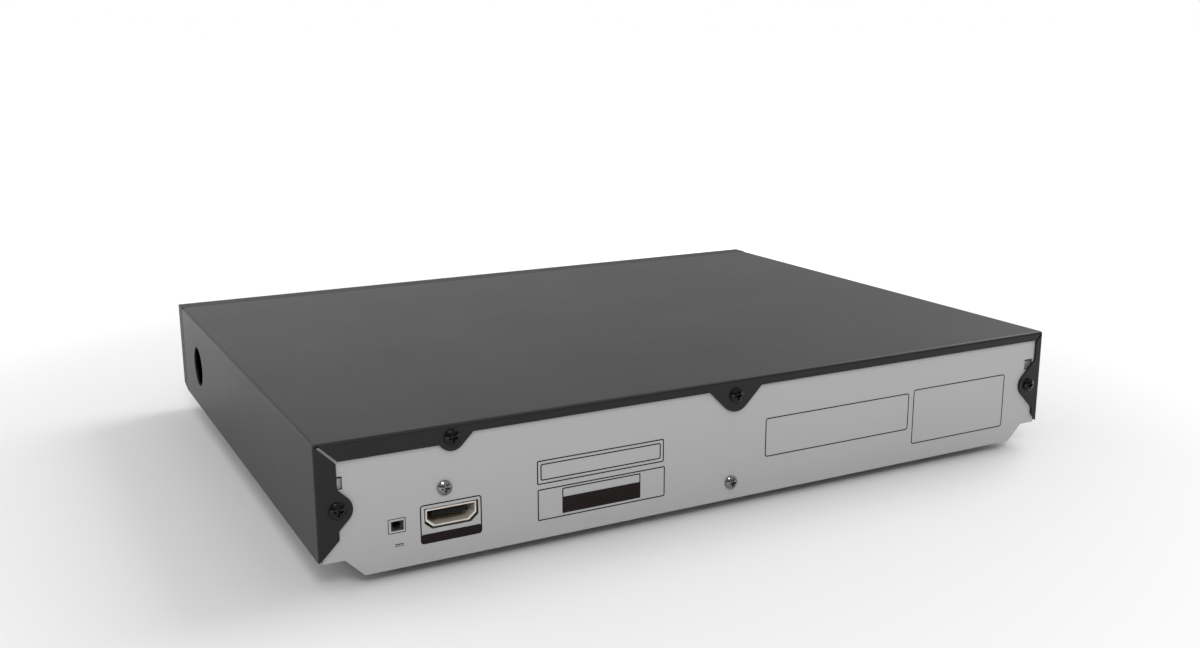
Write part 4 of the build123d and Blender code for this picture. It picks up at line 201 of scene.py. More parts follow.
class ShaderBook(NodeBook):
    """Node tree of one material, with the few node recipes that the finishes share."""

    def __init__(self, name: str) -> None:
        """Start a material with a shader wired to its output."""
        self.material = bpy.data.materials.new(name)
        self.material.use_nodes = True
        super().__init__(self.material.node_tree)
        self.shader = self.node("ShaderNodeBsdfPrincipled")
        self.node("ShaderNodeOutputMaterial", inputs={"Surface": self.shader.outputs[0]})
        self.place = self.node("ShaderNodeTexCoord").outputs["Object"]

    def set(self, **sockets: object) -> None:
        """Feed the shader's sockets, whose names are given with underscores."""
        for name, value in sockets.items():
            self.feed(self.shader.inputs[name.replace("_", " ")], value)

    def stretched(self, stretch: Point) -> bpy.types.NodeSocket:
        """Object coordinates scaled along each axis."""
        node = self.node("ShaderNodeMapping", inputs={"Vector": self.place, "Scale": stretch})
        return node.outputs[0]

    def part(self, axis: int) -> Value:
        """Object coordinate along one axis, in millimetres."""
        node = self.node("ShaderNodeSeparateXYZ", inputs={0: self.place})
        return Value(self, node.outputs[axis]) * (1 / MM)

    def noise(self, size: float, detail: float = PLAIN, stretch: Point = (1, 1, 1)) -> Value:
        """Noise from zero to one.

        Args:
            size: Size of its features in millimetres.
            detail: Octaves of finer noise.
            stretch: Factors on the coordinates, small along the grain.

        Returns:
            The noise.
        """
        inputs = {"Vector": self.stretched(stretch), "Scale": 1 / (size * MM), "Detail": detail}
        return Value(self, self.node("ShaderNodeTexNoise", inputs=inputs).outputs[0])

    def cells(self, size: float) -> tuple[Value, Value]:
        """Crystal-like cells.

        Args:
            size: Size of a cell in millimetres.

        Returns:
            Distance from each cell's middle and a random number for each cell.
        """
        inputs = {"Vector": self.place, "Scale": 1 / (size * MM)}
        cells = self.node("ShaderNodeTexVoronoi", {"feature": "F1"}, inputs)
        lot = self.node("ShaderNodeSeparateColor", inputs={0: cells.outputs["Color"]})
        return Value(self, cells.outputs["Distance"]), Value(self, lot.outputs[0])

    def relief(self, height: Value, depth: float, edge: float = 0.0) -> None:
        """Raise the surface by a height and soften its edges.

        Args:
            height: Height from zero to one.
            depth: What a height of one stands for, in millimetres.
            edge: Radius of the softened edges in millimetres.
        """
        inputs: dict[Union[str, int], object] = {"Height": height, "Distance": depth * MM, "Strength": 1.0}
        if edge:
            soft = self.node("ShaderNodeBevel", {"samples": EDGE_SAMPLES}, {"Radius": edge * MM})
            inputs["Normal"] = soft.outputs[0]
        self.set(Normal=self.node("ShaderNodeBump", inputs=inputs).outputs[0])


def shade(color: Color, factor: float) -> Color:
    """A colour made lighter or darker by a factor."""
    red, green, blue = (min(1.0, channel * factor) for channel in color)
    return red, green, blue


@dataclass(frozen=True)
class Finish:
    """A surface finish that becomes one material.

    Its edge is the radius to which sharp edges are softened. The sizes of marks, grains and reliefs are
    in millimetres too. A shine is how far a mark moves the roughness, and a factor on the colour is named
    for what it gives: dull, dark, pale or bright.
    """

    name: str
    color: Color
    roughness: float = 0.5
    edge: float = 0.15

    def material(self) -> bpy.types.Material:
        """The finish's material, made on its first use."""
        made = bpy.data.materials.get(self.name)
        if made is None:
            book = ShaderBook(self.name)
            self.paint(book)
            made = book.material
        return made

    def paint(self, book: ShaderBook) -> None:
        """Lay the finish on a new material."""
        raise NotImplementedError


@dataclass(frozen=True)
class SheetPaint(Finish):
    """Baked paint on sheet steel: an even satin coat with fine orange peel and faint handling marks."""

    peel: float = 0.5
    depth: float = 0.004
    drift: float = 0.06
    gloss: float = 0.5
    cloud: float = 38.0
    peel_shine: float = 0.08

    def paint(self, book: ShaderBook) -> None:
        """Lay the finish on a new material."""
        cloud = book.noise(self.cloud, RICH)
        peel = book.noise(self.peel)
        color = book.blend(cloud, shade(self.color, 1 - self.drift), shade(self.color, 1 + self.drift))
        rough = self.roughness + cloud.centred() * self.drift + peel.centred() * self.peel_shine
        book.set(Base_Color=color, Roughness=rough, Specular_IOR_Level=self.gloss)
        book.relief(peel, self.depth, self.edge)


@dataclass(frozen=True)
class PanelPaint(SheetPaint):
    """Pre-painted sheet whose sheared edges, between its two faces, are near black: bare steel and painted
    shade.
    """

    back: float = 0.0
    face: float = 0.0
    bare_edge_and_shade_color: Color = (0.05, 0.05, 0.052)

    def paint(self, book: ShaderBook) -> None:
        """Lay the finish on a new material."""
        super().paint(book)
        place = book.part(1)
        # The cut walls between the two faces get a near-black colour: partly bare steel, partly painted
        # shade.
        cut = (place > self.back) * (place < self.face)
        painted = book.shader.inputs["Base Color"].links[0].from_socket
        book.set(Base_Color=book.blend(cut, painted, self.bare_edge_and_shade_color))


@dataclass(frozen=True)
class Moulding(Finish):
    """Moulded plastic with the fine spark-eroded grain of its tool and faint marks of its flow."""

    grain: float = 0.35
    depth: float = 0.008
    coat: float = 0.0
    gloss: float = 0.5
    flow: float = 22.0
    flow_share: float = 0.6
    drift: float = 0.14
    flow_shine: float = 0.1
    grain_shine: float = 0.12
    coat_roughness: float = 0.06

    def paint(self, book: ShaderBook) -> None:
        """Lay the finish on a new material."""
        grain = book.noise(self.grain, RICH)
        flow = book.noise(self.flow)
        share = self.flow_share * flow + (1 - self.flow_share) * grain
        color = book.blend(share, shade(self.color, 1 - self.drift), shade(self.color, 1 + self.drift))
        rough = self.roughness + flow.centred() * self.flow_shine + grain.centred() * self.grain_shine
        book.set(Base_Color=color, Roughness=rough, Specular_IOR_Level=self.gloss)
        book.set(Coat_Weight=self.coat, Coat_Roughness=self.coat_roughness)
        book.relief(grain, self.depth, self.edge)


@dataclass(frozen=True)
class Metal(Finish):
    """Bare or plated metal with the fine lines of how it was drawn, turned or brushed."""

    grain: Axis = Axis.Y
    line: float = 0.12
    depth: float = 0.003
    stain: float = 0.12
    bare: float = 1.0
    cloud: float = 6.0
    line_shine: float = 0.14
    cloud_shine: float = 0.1

    def paint(self, book: ShaderBook) -> None:
        """Lay the finish on a new material."""
        lines = book.noise(self.line, stretch=self.grain.value)
        cloud = book.noise(self.cloud, RICH)
        color = book.blend(cloud, shade(self.color, 1 - self.stain), shade(self.color, 1 + self.stain / 2))
        rough = self.roughness + lines.centred() * self.line_shine + cloud.centred() * self.cloud_shine
        book.set(Base_Color=color, Metallic=self.bare, Roughness=rough)
        book.relief(lines, self.depth, self.edge)


@dataclass(frozen=True)
class ZincSheet(Finish):
    """Galvanised steel sheet with its crystal spangle and its rolling lines."""

    spangle: float = 5.0
    bare: float = 0.9
    line: float = 0.2
    line_share: float = 0.6
    depth: float = 0.004
    dull: float = 0.9
    bright: float = 1.07
    spangle_shine: float = 0.1
    line_shine: float = 0.12

    def paint(self, book: ShaderBook) -> None:
        """Lay the finish on a new material."""
        distance, lot = book.cells(self.spangle)
        lines = book.noise(self.line, stretch=Axis.X.value)
        color = book.blend(lot, shade(self.color, self.dull), shade(self.color, self.bright))
        rough = self.roughness + lot.centred() * self.spangle_shine + lines.centred() * self.line_shine
        book.set(Base_Color=color, Metallic=self.bare, Roughness=rough)
        height = self.line_share * lines + (1 - self.line_share) * distance
        book.relief(height, self.depth, self.edge)


@dataclass(frozen=True)
class Rubber(Finish):
    """Matt rubber with a trace of dust and bloom."""

    grain: float = 0.3
    depth: float = 0.012
    gloss: float = 0.3
    dust: float = 1.6
    dust_detail: float = 4.0
    dust_range: tuple[float, float] = (0.5, 0.8)
    dust_pale: float = 2.2
    dust_shine: float = 0.08

    def paint(self, book: ShaderBook) -> None:
        """Lay the finish on a new material."""
        dust = book.noise(self.dust, self.dust_detail).ramp(*self.dust_range)
        grain = book.noise(self.grain)
        color = book.blend(dust, self.color, shade(self.color, self.dust_pale))
        rough = self.roughness + dust * self.dust_shine
        book.set(Base_Color=color, Roughness=rough, Specular_IOR_Level=self.gloss)
        book.relief(grain, self.depth, self.edge)


@dataclass(frozen=True)
class Laminate(Finish):
    """Circuit board: solder mask over copper tracks, with tinned pads and vias.

    Tracks repeat at a pitch, along or across in each lane, and some of the pads' cells hold a pad.
    """

    track: float = 1.1
    track_half: float = 0.22
    track_show: float = 0.8
    track_pale: float = 1.7
    lane: float = 9.0
    pad: float = 2.3
    pad_reach: float = 0.3
    pad_chance: float = 0.72
    tin: Color = (0.72, 0.7, 0.64)
    tin_bare: float = 0.9
    tin_shine: float = 0.1
    depth: float = 0.03

    def paint(self, book: ShaderBook) -> None:
        """Lay the finish on a new material."""
        along, across = book.part(0), book.part(1)
        _, lot = book.cells(self.lane)
        lane = lot > HALF
        run = along * lane + across * (1 - lane)
        track = abs((run * (1 / self.track)).fraction().centred()) < self.track_half
        spot, chance = book.cells(self.pad)
        pad = (spot < self.pad_reach) * (chance > self.pad_chance)
        mask = book.blend(track * self.track_show, self.color, shade(self.color, self.track_pale))
        rough = self.roughness - pad * self.tin_shine
        book.set(Base_Color=book.blend(pad, mask, self.tin), Metallic=pad * self.tin_bare, Roughness=rough)
        book.relief(track * HALF + pad * HALF, self.depth, self.edge)


@dataclass(frozen=True)
class FlatCable(Finish):
    """Flat cable: white film over evenly spaced flat wires that run one way."""

    across: int = 0
    pitch: float = 1.0
    wire_half: float = 0.3
    film_pale: float = 1.05
    wire_dark: float = 0.72
    depth: float = 0.05
    cloud: float = 8.0
    cloud_shine: float = 0.1

    def paint(self, book: ShaderBook) -> None:
        """Lay the finish on a new material."""
        place = book.part(self.across) * (1 / self.pitch)
        wire = abs(place.fraction().centred()) < self.wire_half
        cloud = book.noise(self.cloud)
        color = book.blend(wire, shade(self.color, self.film_pale), shade(self.color, self.wire_dark))
        book.set(Base_Color=color, Roughness=self.roughness + cloud.centred() * self.cloud_shine)
        book.relief(wire, self.depth)


@dataclass(frozen=True)
class ClearPart(Finish):
    """Clear or tinted moulding or glass with a polished face."""

    clear: float = 0.9
    coat: float = 0.4
    coat_roughness: float = 0.03
    depth: float = 0.004
    smear: float = 5.0
    smear_pale: float = 1.1
    smear_shine: float = 0.04

    def paint(self, book: ShaderBook) -> None:
        """Lay the finish on a new material."""
        smear = book.noise(self.smear, RICH)
        color = book.blend(smear, self.color, shade(self.color, self.smear_pale))
        rough = self.roughness + smear * self.smear_shine
        book.set(Base_Color=color, Roughness=rough, Transmission_Weight=self.clear)
        book.set(Coat_Weight=self.coat, Coat_Roughness=self.coat_roughness)
        book.relief(smear, self.depth, self.edge)


@dataclass(frozen=True)
class Ink(Finish):
    """Screen-printed ink, slightly uneven at its mesh."""

    mesh: float = 0.15
    drift: float = 0.2
    mesh_shine: float = 0.2
    gloss: float = 0.12
    depth: float = 0.003

    def paint(self, book: ShaderBook) -> None:
        """Lay the finish on a new material."""
        mesh = book.noise(self.mesh)
        color = book.blend(mesh, shade(self.color, 1 - self.drift), shade(self.color, 1 + self.drift))
        rough = self.roughness + mesh.centred() * self.mesh_shine
        book.set(Base_Color=color, Roughness=rough, Specular_IOR_Level=self.gloss)
        book.relief(mesh, self.depth)


COVER_PAINT = SheetPaint("charcoal_paint", (0.013, 0.013, 0.0134), 0.42, 0.3, gloss=0.25)
# The panel's cut walls, from back to face along Y, are coloured near black: bare steel and painted shade.
PANEL_PAINT = PanelPaint(
    "grey_panel_paint", (0.465, 0.465, 0.468), 0.5, 0.0, peel=0.12, drift=0.02, back=94.27, face=94.93,
)
PAN_ZINC = ZincSheet("galvanised_pan", (0.40, 0.40, 0.405), 0.5, 0.2, bare=0.6)
PLATE_ZINC = ZincSheet("zinc_plated_plate", (0.66, 0.65, 0.62), 0.32, 0.15, spangle=3.0)
BEZEL_BLACK = Moulding(
    "satin_black_bezel", (0.010, 0.010, 0.011), 0.5, 0.3, grain=0.25, depth=0.006, gloss=0.3,
)
CONTROL_GREY = Moulding("satin_grey_button", (0.05, 0.05, 0.055), 0.3, 0.2, grain=0.2, depth=0.003, coat=0.3)
SWITCH_BLACK = Moulding("moulded_black", (0.014, 0.014, 0.015), 0.42, 0.1)
CHIP_BLACK = Moulding("moulded_chip", (0.02, 0.02, 0.022), 0.6, 0.08, grain=0.2, depth=0.01)
LOADER_BLACK = Moulding("loader_black", (0.03, 0.03, 0.033), 0.5, 0.2)
TRAY_BLACK = Moulding("grained_tray_black", (0.045, 0.045, 0.048), 0.46, 0.25, grain=0.5, depth=0.02)
GEAR_WHITE = Moulding("natural_acetal", (0.78, 0.77, 0.72), 0.38, 0.1, grain=0.6, depth=0.004)
FERRITE = Moulding("dark_ferrite", (0.06, 0.06, 0.065), 0.7, 0.15, grain=0.15, depth=0.02)
SMOKED_WINDOW = Moulding("smoked_window", (0.012, 0.010, 0.012), 0.08, 0.2, grain=3.0, depth=0.001, coat=0.6)
SCREW_BLACK = Metal("black_oxide_screw", (0.028, 0.028, 0.030), 0.14, 0.25, stain=0.2)
SCREW_STEEL = Metal("bright_zinc_screw", (0.46, 0.445, 0.425), 0.1, 0.12)
SCREW_CHROME = Metal("chromed_screw", (0.26, 0.252, 0.242), 0.05, 0.1, stain=0.25)
SOCKET_NICKEL = Metal("nickel_plate", (0.80, 0.74, 0.67), 0.36, 0.12, line=0.3, bare=0.45)
TONGUE_BLACK = Moulding("socket_tongue_black", (0.008, 0.007, 0.007), 0.5, 0.08, gloss=0.15)
INLET_GREY = Moulding("power_inlet_grey", (0.05, 0.05, 0.05), 0.5, 0.08, gloss=0.2)
CONTACT_GOLD = Metal("gold_contact", (0.83, 0.62, 0.28), 0.25, 0.05)
BARE_ALUMINIUM = Metal("bare_aluminium", (0.7, 0.7, 0.71), 0.36, 0.15)
MOTOR_STEEL = Metal("drawn_motor_can", (0.58, 0.58, 0.58), 0.3, 0.3, grain=Axis.Z)
GROUND_STEEL = Metal("ground_rod", (0.75, 0.75, 0.76), 0.14, 0.1)
PICKUP_CAST = Metal("dark_die_casting", (0.3, 0.3, 0.31), 0.5, 0.2, line=0.5, depth=0.02)
FOOT_RUBBER = Rubber("black_rubber", (0.02, 0.02, 0.02), 0.78, 0.4)
BOARD_GREEN = Laminate("green_board", (0.015, 0.09, 0.04), 0.4, 0.1)
RIBBON_ALONG_Y = FlatCable("flat_cable_along_y", (0.8, 0.8, 0.78), 0.42, 0.0)
RIBBON_ALONG_X = FlatCable("flat_cable_along_x", (0.8, 0.8, 0.78), 0.42, 0.0, across=1)
LENS_GLASS = ClearPart("coated_lens", (0.55, 0.65, 0.85), 0.03, 0.0)
LAMP_RED = ClearPart("red_lamp", (0.55, 0.04, 0.03), 0.12, 0.1, clear=0.5)
PRINT_INK = Ink("dark_print_ink", (0.014, 0.009, 0.009), 0.5, 0.0)
MARK_INK = Ink("pale_print_ink", (0.6, 0.6, 0.6), 0.5, 0.0)


class Sculpt:
    """One new piece, shaped with mesh operators in millimetres of the row frame."""

    def __init__(self) -> None:
        """Start with an empty mesh."""
        self.mesh = bmesh.new()

    def take(self, other: bmesh.types.BMesh) -> None:
        """Move another mesh's faces into this piece."""
        bmesh.ops.recalc_face_normals(other, faces=other.faces[:])
        carrier = bpy.data.meshes.new("carrier")
        other.to_mesh(carrier)
        other.free()
        self.mesh.from_mesh(carrier)
        bpy.data.meshes.remove(carrier)

    def block(self, low: Point, high: Point, edge: float) -> None:
        """Add a block with rounded edges.

        Args:
            low: Its lowest corner.
            high: Its highest corner.
            edge: Radius of its edges.
        """
        shape = bmesh.new()
        corners = bmesh.ops.create_cube(shape, size=1.0)["verts"]
        bmesh.ops.scale(shape, vec=Vector(high) - Vector(low), verts=corners)
        bmesh.ops.translate(shape, vec=(Vector(high) + Vector(low)) / 2, verts=corners)
        bmesh.ops.bevel(
            shape, geom=shape.edges[:], offset=edge, offset_type="OFFSET", segments=EDGE_SEGMENTS,
            profile=0.5, affect="EDGES", material=-1,
        )
        self.take(shape)

    def film(
        self,
        outline: Sequence[Point],
        y: float,
        thick: float,
        corner: float = 0.0,
        line: float = 0.0,
    ) -> None:
        """Add a printed area or frame that lies in a plane across Y.

        Args:
            outline: Its corners as pairs of x and z.
            y: Place of the face from which its thickness goes.
            thick: Its thickness, against Y where that is negative.
            corner: Radius of its corners.
            line: Width of its frame, or zero for a filled area.
        """
        shape = bmesh.new()
        points = [shape.verts.new((x, y, z)) for x, z in outline]
        shape.faces.new(points)
        shape.normal_update()
        if corner:
            bmesh.ops.bevel(
                shape, geom=points, offset=corner, offset_type="OFFSET", segments=CORNER_SEGMENTS,
                profile=0.5, affect="VERTICES", material=-1,
            )
        if line:
            frame_faces = bmesh.ops.inset_region(
                shape, faces=shape.faces[:], thickness=line, use_even_offset=True, use_boundary=True,
            )["faces"]
            inner = [face for face in shape.faces if face not in frame_faces]
            bmesh.ops.delete(shape, geom=inner, context="FACES")
        self.raise_film(shape, y, thick)

    def arc(
        self,
        centre: Point,
        radii: tuple[float, float],
        sweep: tuple[float, float],
        thick: float,
    ) -> None:
        """Add a printed arc that lies in a plane across Y.

        Args:
            centre: Its centre, on the face from which its thickness goes.
            radii: Its inner and outer radius.
            sweep: Angle of its start from the upright, and the angle that it covers, in degrees.
            thick: Its thickness, against Y where that is negative.
        """
        shape = bmesh.new()
        start, turn = (math.radians(angle) for angle in sweep)
        heading = Vector((math.sin(start), 0.0, math.cos(start)))
        ends = [shape.verts.new(Vector(centre) + heading * radius) for radius in radii]
        profile = [*ends, shape.edges.new(ends)]
        bmesh.ops.spin(
            shape, geom=profile, cent=centre, axis=(0.0, 1.0, 0.0), angle=turn, steps=ARC_STEPS,
        )
        self.raise_film(shape, centre[1], thick)

    def raise_film(self, shape: bmesh.types.BMesh, y: float, thick: float) -> None:
        """Give flat faces at y a thickness and add them to the piece."""
        shape.normal_update()
        bmesh.ops.solidify(shape, geom=shape.faces[:], thickness=abs(thick))
        lowest = min(vert.co.y for vert in shape.verts)
        start = min(y, y + thick)
        bmesh.ops.translate(shape, vec=(0.0, start - lowest, 0.0), verts=shape.verts[:])
        self.take(shape)

    def piece(self, name: str, body: str, finish: Finish) -> None:
        """Turn the mesh into a finished object of the scene.

        Args:
            name: Name of the piece.
            body: Body of the frame on which it rides.
            finish: Its finish.
        """
        bmesh.ops.scale(self.mesh, vec=(MM, MM, MM), verts=self.mesh.verts[:])
        data = bpy.data.meshes.new(name)
        self.mesh.to_mesh(data)
        self.mesh.free()
        data.materials.append(finish.material())
        made = bpy.data.objects.new(name, data)
        bpy.context.scene.collection.objects.link(made)
        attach(made, body)
        LOG.info("piece %s rides on %s", name, body)


def corners_mm(node: str) -> tuple[Vector, Vector]:
    """Lowest and highest corner of a node, in millimetres."""
    low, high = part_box(node)
    return low / MM, high / MM


def rectangle(x0: float, x1: float, z0: float, z1: float) -> list[Point]:
    """Corners of an upright rectangle as pairs of x and z."""
    return [(x0, z0), (x1, z0), (x1, z1), (x0, z1)]


class Assembly:
    """A group of the player's nodes with their finishes and added pieces."""

    finishes: dict[str, Finish] = {}

    def build(self) -> None:
        """Add the assembly's own pieces, of which a plain assembly has none."""

    def dress(self) -> None:
        """Give each node of the assembly its finish."""
        for node, finish in self.finishes.items():
            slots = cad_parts[node].data.materials
            slots.clear()
            slots.append(finish.material())
            LOG.info("node %s in %s", node, finish.name)


class Housing(Assembly):
    """Folded cover, pan, rear panel, feet and the screws that hold them."""

    finishes = {
        "top_cover": COVER_PAINT,
        "base_pan": PAN_ZINC,
        "rear_panel": PANEL_PAINT,
        "rubber_feet": FOOT_RUBBER,
        "cover_screws": SCREW_BLACK,
        "panel_screws": SCREW_CHROME,
        "bezel_screws": SCREW_BLACK,
    }


@dataclass
class RearPrint(Assembly):
    """Printing on the rear panel: frames, bands and the direct-current sign.

    Places are x, and z above the cover's lower edge. The film lies a little into the panel's face. The sign
    is as high as its rows of bars and as wide as its columns of dashes.
    """

    film: float = 0.03
    sink: float = 0.01
    line: float = 0.36
    fine_line: float = 0.2
    corner: float = 1.0
    small_corner: float = 0.5
    inner_corner: float = 0.6
    band_corner: float = 0.4
    box_corner: float = 0.3
    socket_frame: tuple[float, ...] = (83.57, 101.65, -0.46, 10.87)
    socket_band: float = 2.8
    inlet_frame: tuple[float, ...] = (105.73, 110.75, 4.35, 8.56)
    current_sign: tuple[float, ...] = (106.53, 108.94, 0.44, 1.19)
    sign_rows: int = 3
    sign_columns: int = 4
    dash_starts: tuple[float, ...] = (0.0, 1.5, 3.0)
    upper_label: tuple[float, ...] = (24.72, 66.53, 10.47, 17.69)
    upper_inset: float = 1.1
    lower_label: tuple[float, ...] = (24.32, 66.43, -0.46, 9.06)
    lower_box: tuple[float, ...] = (32.74, 58.61, 0.54, 8.26)
    lower_fill: float = 5.0
    wide_label: tuple[float, ...] = (-70.34, -12.18, 5.65, 18.39)
    end_label: tuple[float, ...] = (-113.55, -72.24, 0.14, 19.19)

    def build(self) -> None:
        """Print the panel."""
        base = corners_mm("top_cover")[0].z
        y = corners_mm("rear_panel")[1].y - self.sink
        print_layer = Sculpt()

        def put(area: Sequence[float], corner: float = 0.0, line: float = 0.0) -> None:
            """Print one area or frame."""
            x0, x1, z0, z1 = area
            print_layer.film(rectangle(x0, x1, z0 + base, z1 + base), y, self.film, corner, line)

        put(self.socket_frame, self.corner, self.line)
        x0, x1, z0, z1 = self.socket_frame
        put((x0 + self.line, x1 - self.line, z0 + self.line, z0 + self.socket_band), self.band_corner)
        put(self.inlet_frame, 0.0, self.fine_line)
        self.sign(put)
        put(self.upper_label, self.small_corner, self.line)
        x0, x1, z0, z1 = self.upper_label
        inset = self.upper_inset
        put((x0 + inset, x1 - inset, z0 + inset, z1 - inset), self.inner_corner, self.line)
        put(self.lower_label, self.small_corner, self.line)
        put(self.lower_box, self.box_corner, self.line)
        x0, x1, z0, z1 = self.lower_box
        put((x0 + self.line, x1 - self.line, z0 + self.line, z0 + self.lower_fill))
        put(self.wide_label, self.corner, self.line)
        put(self.end_label, self.corner, self.line)
        print_layer.piece("rear_print", "chassis", PRINT_INK)

    def sign(self, put: Callable[..., None]) -> None:
        """Print the sign for direct current: a bar over three dashes.

        Args:
            put: Function that prints one area.
        """
        x0, x1, z0, z1 = self.current_sign
        bar = (z1 - z0) / self.sign_rows
        put((x0, x1, z1 - bar, z1))
        dash = (x1 - x0) / self.sign_columns
        for step in self.dash_starts:
            put((x0 + step * dash, x0 + (step + 1) * dash, z0, z0 + bar))


@dataclass
class RearSockets(Assembly):
    """Picture socket and power inlet, with the socket's contacts."""

    contacts: int = 10
    pitch: float = 1.0
    width: float = 0.5
    proud: float = 0.06
    edge: float = 0.02
    setback: float = 0.7
    length: float = 4.5
    tongue_rise: float = 3.12
    tongue_half: float = 0.7

    finishes = {
        "hdmi_shell": SOCKET_NICKEL,
        "hdmi_tongue": TONGUE_BLACK,
        "dc_jack": INLET_GREY,
        "dc_jack_pin": SCREW_STEEL,
    }

    def build(self) -> None:
        """Lay the contacts on both sides of the tongue."""
        low, high = corners_mm("hdmi_tongue")
        middle = (low.x + high.x) / 2
        tongue = corners_mm("hdmi_shell")[0].z + self.tongue_rise
        strips = Sculpt()
        y1 = high.y - self.setback
        for step in range(self.contacts):
            x = middle + (step - (self.contacts - 1) / 2) * self.pitch
            for z in (tongue - self.tongue_half, tongue + self.tongue_half):
                strips.block(
                    (x - self.width / 2, y1 - self.length, z - self.proud),
                    (x + self.width / 2, y1, z + self.proud), self.edge,
                )
        strips.piece("picture_socket_contacts", "chassis", CONTACT_GOLD)


@dataclass
class FrontFace(Assembly):
    """Bezel with its lower lip, door, window, buttons and front socket.

    The lip's places are from the bezel's face and sides and the cover's lower edge. The signs' places are
    from the middle of their button, and their film lies a little into its face. The corners of the power
    sign's bar are a share of half its stroke.
    """

    film: float = 0.03
    sink: float = 0.01
    stroke: float = 0.45
    reach: float = 1.7
    sign_corner: float = 0.15
    ring_sweep: tuple[float, float] = (35.0, 290.0)
    bar_rise: float = 0.2
    bar_round: float = 0.9
    eject_base: float = 0.3
    eject_bar: tuple[float, float] = (1.4, 0.8)
    play_back: float = 1.1
    play_tip: float = 1.7
    lip_front: float = 1.0
    lip_back: float = 2.35
    lip_inset: float = 2.0
    lip_drop: float = 0.5
    lip_top: float = 1.9
    lip_edge: float = 0.15

    finishes = {
        "front_bezel": BEZEL_BLACK,
        "tray_door": BEZEL_BLACK,
        "display_window": SMOKED_WINDOW,
        "power_button": CONTROL_GREY,
        "eject_button": CONTROL_GREY,
        "play_button": CONTROL_GREY,
        "power_plunger": SWITCH_BLACK,
        "eject_plunger": SWITCH_BLACK,
        "play_plunger": SWITCH_BLACK,
        "button_switches": CHIP_BLACK,
        "usb_shell": SOCKET_NICKEL,
        "usb_tongue": TONGUE_BLACK,
        "ir_receiver": CHIP_BLACK,
        "standby_lamp": LAMP_RED,
    }

    def build(self) -> None:
        """Mould the bezel's lip and print a plain sign on each button."""
        self.lip()
        self.power_sign()
        self.eject_sign()
        self.play_sign()

    def face(self, node: str) -> tuple[float, float, float]:
        """Middle of a button's face, where the film starts."""
        low, high = corners_mm(node)
        return (low.x + high.x) / 2, low.y + self.sink, (low.z + high.z) / 2

    def lip(self) -> None:
        """Mould the lip under the bezel that stands before the pan's edge."""
        low, high = corners_mm("front_bezel")
        base = corners_mm("top_cover")[0].z
        strip = Sculpt()
        strip.block(
            (low.x + self.lip_inset, low.y + self.lip_front, base - self.lip_drop),
            (high.x - self.lip_inset, low.y + self.lip_back, base + self.lip_top), self.lip_edge,
        )
        strip.piece("bezel_lip", "chassis", BEZEL_BLACK)

    def power_sign(self) -> None:
        """Print a broken ring with a bar in its gap."""
        x, y, z = self.face("power_button")
        ink = Sculpt()
        ink.arc((x, y, z), (self.reach - self.stroke, self.reach), self.ring_sweep, -self.film)
        half = self.stroke / 2
        bar = rectangle(x - half, x + half, z + self.bar_rise, z + self.reach + self.bar_rise)
        ink.film(bar, y, -self.film, half * self.bar_round)
        ink.piece("power_sign", "power_button", MARK_INK)

    def eject_sign(self) -> None:
        """Print a triangle over a bar."""
        x, y, z = self.face("eject_button")
        ink = Sculpt()
        x0, x1 = x - self.reach, x + self.reach
        base = z - self.eject_base
        ink.film([(x0, base), (x1, base), (x, z + self.reach)], y, -self.film, self.sign_corner)
        low, high = (z - drop for drop in self.eject_bar)
        ink.film(rectangle(x0, x1, low, high), y, -self.film, self.sign_corner)
        ink.piece("eject_sign", "eject_button", MARK_INK)

    def play_sign(self) -> None:
        """Print a triangle that points right, seen from the front."""
        x, y, z = self.face("play_button")
        ink = Sculpt()
        back = x - self.play_back
        outline = [(back, z - self.reach), (x + self.play_tip, z), (back, z + self.reach)]
        ink.film(outline, y, -self.film, self.sign_corner)
        ink.piece("play_sign", "play_button", MARK_INK)


class Boards(Assembly):
    """Main board and front board with their parts, cables and screws."""

    finishes = {
        "main_board": BOARD_GREEN,
        "front_board": BOARD_GREEN,
        "board_pillars": SCREW_STEEL,
        "board_screws": SCREW_STEEL,
        "processor_chip": CHIP_BLACK,
        "heatsink": BARE_ALUMINIUM,
        "memory_chips": CHIP_BLACK,
        "capacitors": BARE_ALUMINIUM,
        "power_inductors": FERRITE,
        "ribbon_sockets": GEAR_WHITE,
        "front_ribbon": RIBBON_ALONG_Y,
        "loader_ribbon": RIBBON_ALONG_X,
    }


class Loader(Assembly):
    """Frame, tray and the drive that moves it."""

    finishes = {
        "loader_frame": LOADER_BLACK,
        "loader_screws": SCREW_STEEL,
        "disc_tray": TRAY_BLACK,
        "tray_gear": GEAR_WHITE,
        "pulley_gear": GEAR_WHITE,
        "motor_pulley": SCREW_STEEL,
        "loading_motor": MOTOR_STEEL,
        "drive_belt": FOOT_RUBBER,
        "cam_slider": GEAR_WHITE,
        "clamp_bridge": PLATE_ZINC,
        "clamp_puck": GEAR_WHITE,
    }


class Traverse(Assembly):
    """Lifting unit with the turntable, the pickup and its feed."""

    finishes = {
        "traverse_holder": LOADER_BLACK,
        "mechanism_plate": PLATE_ZINC,
        "damper_grommets": FOOT_RUBBER,
        "guide_rods": GROUND_STEEL,
        "spindle_motor": MOTOR_STEEL,
        "turntable": TRAY_BLACK,
        "optical_pickup": PICKUP_CAST,
        "objective_lens": LENS_GLASS,
        "lead_screw": GROUND_STEEL,
        "feed_motor": MOTOR_STEEL,
    }


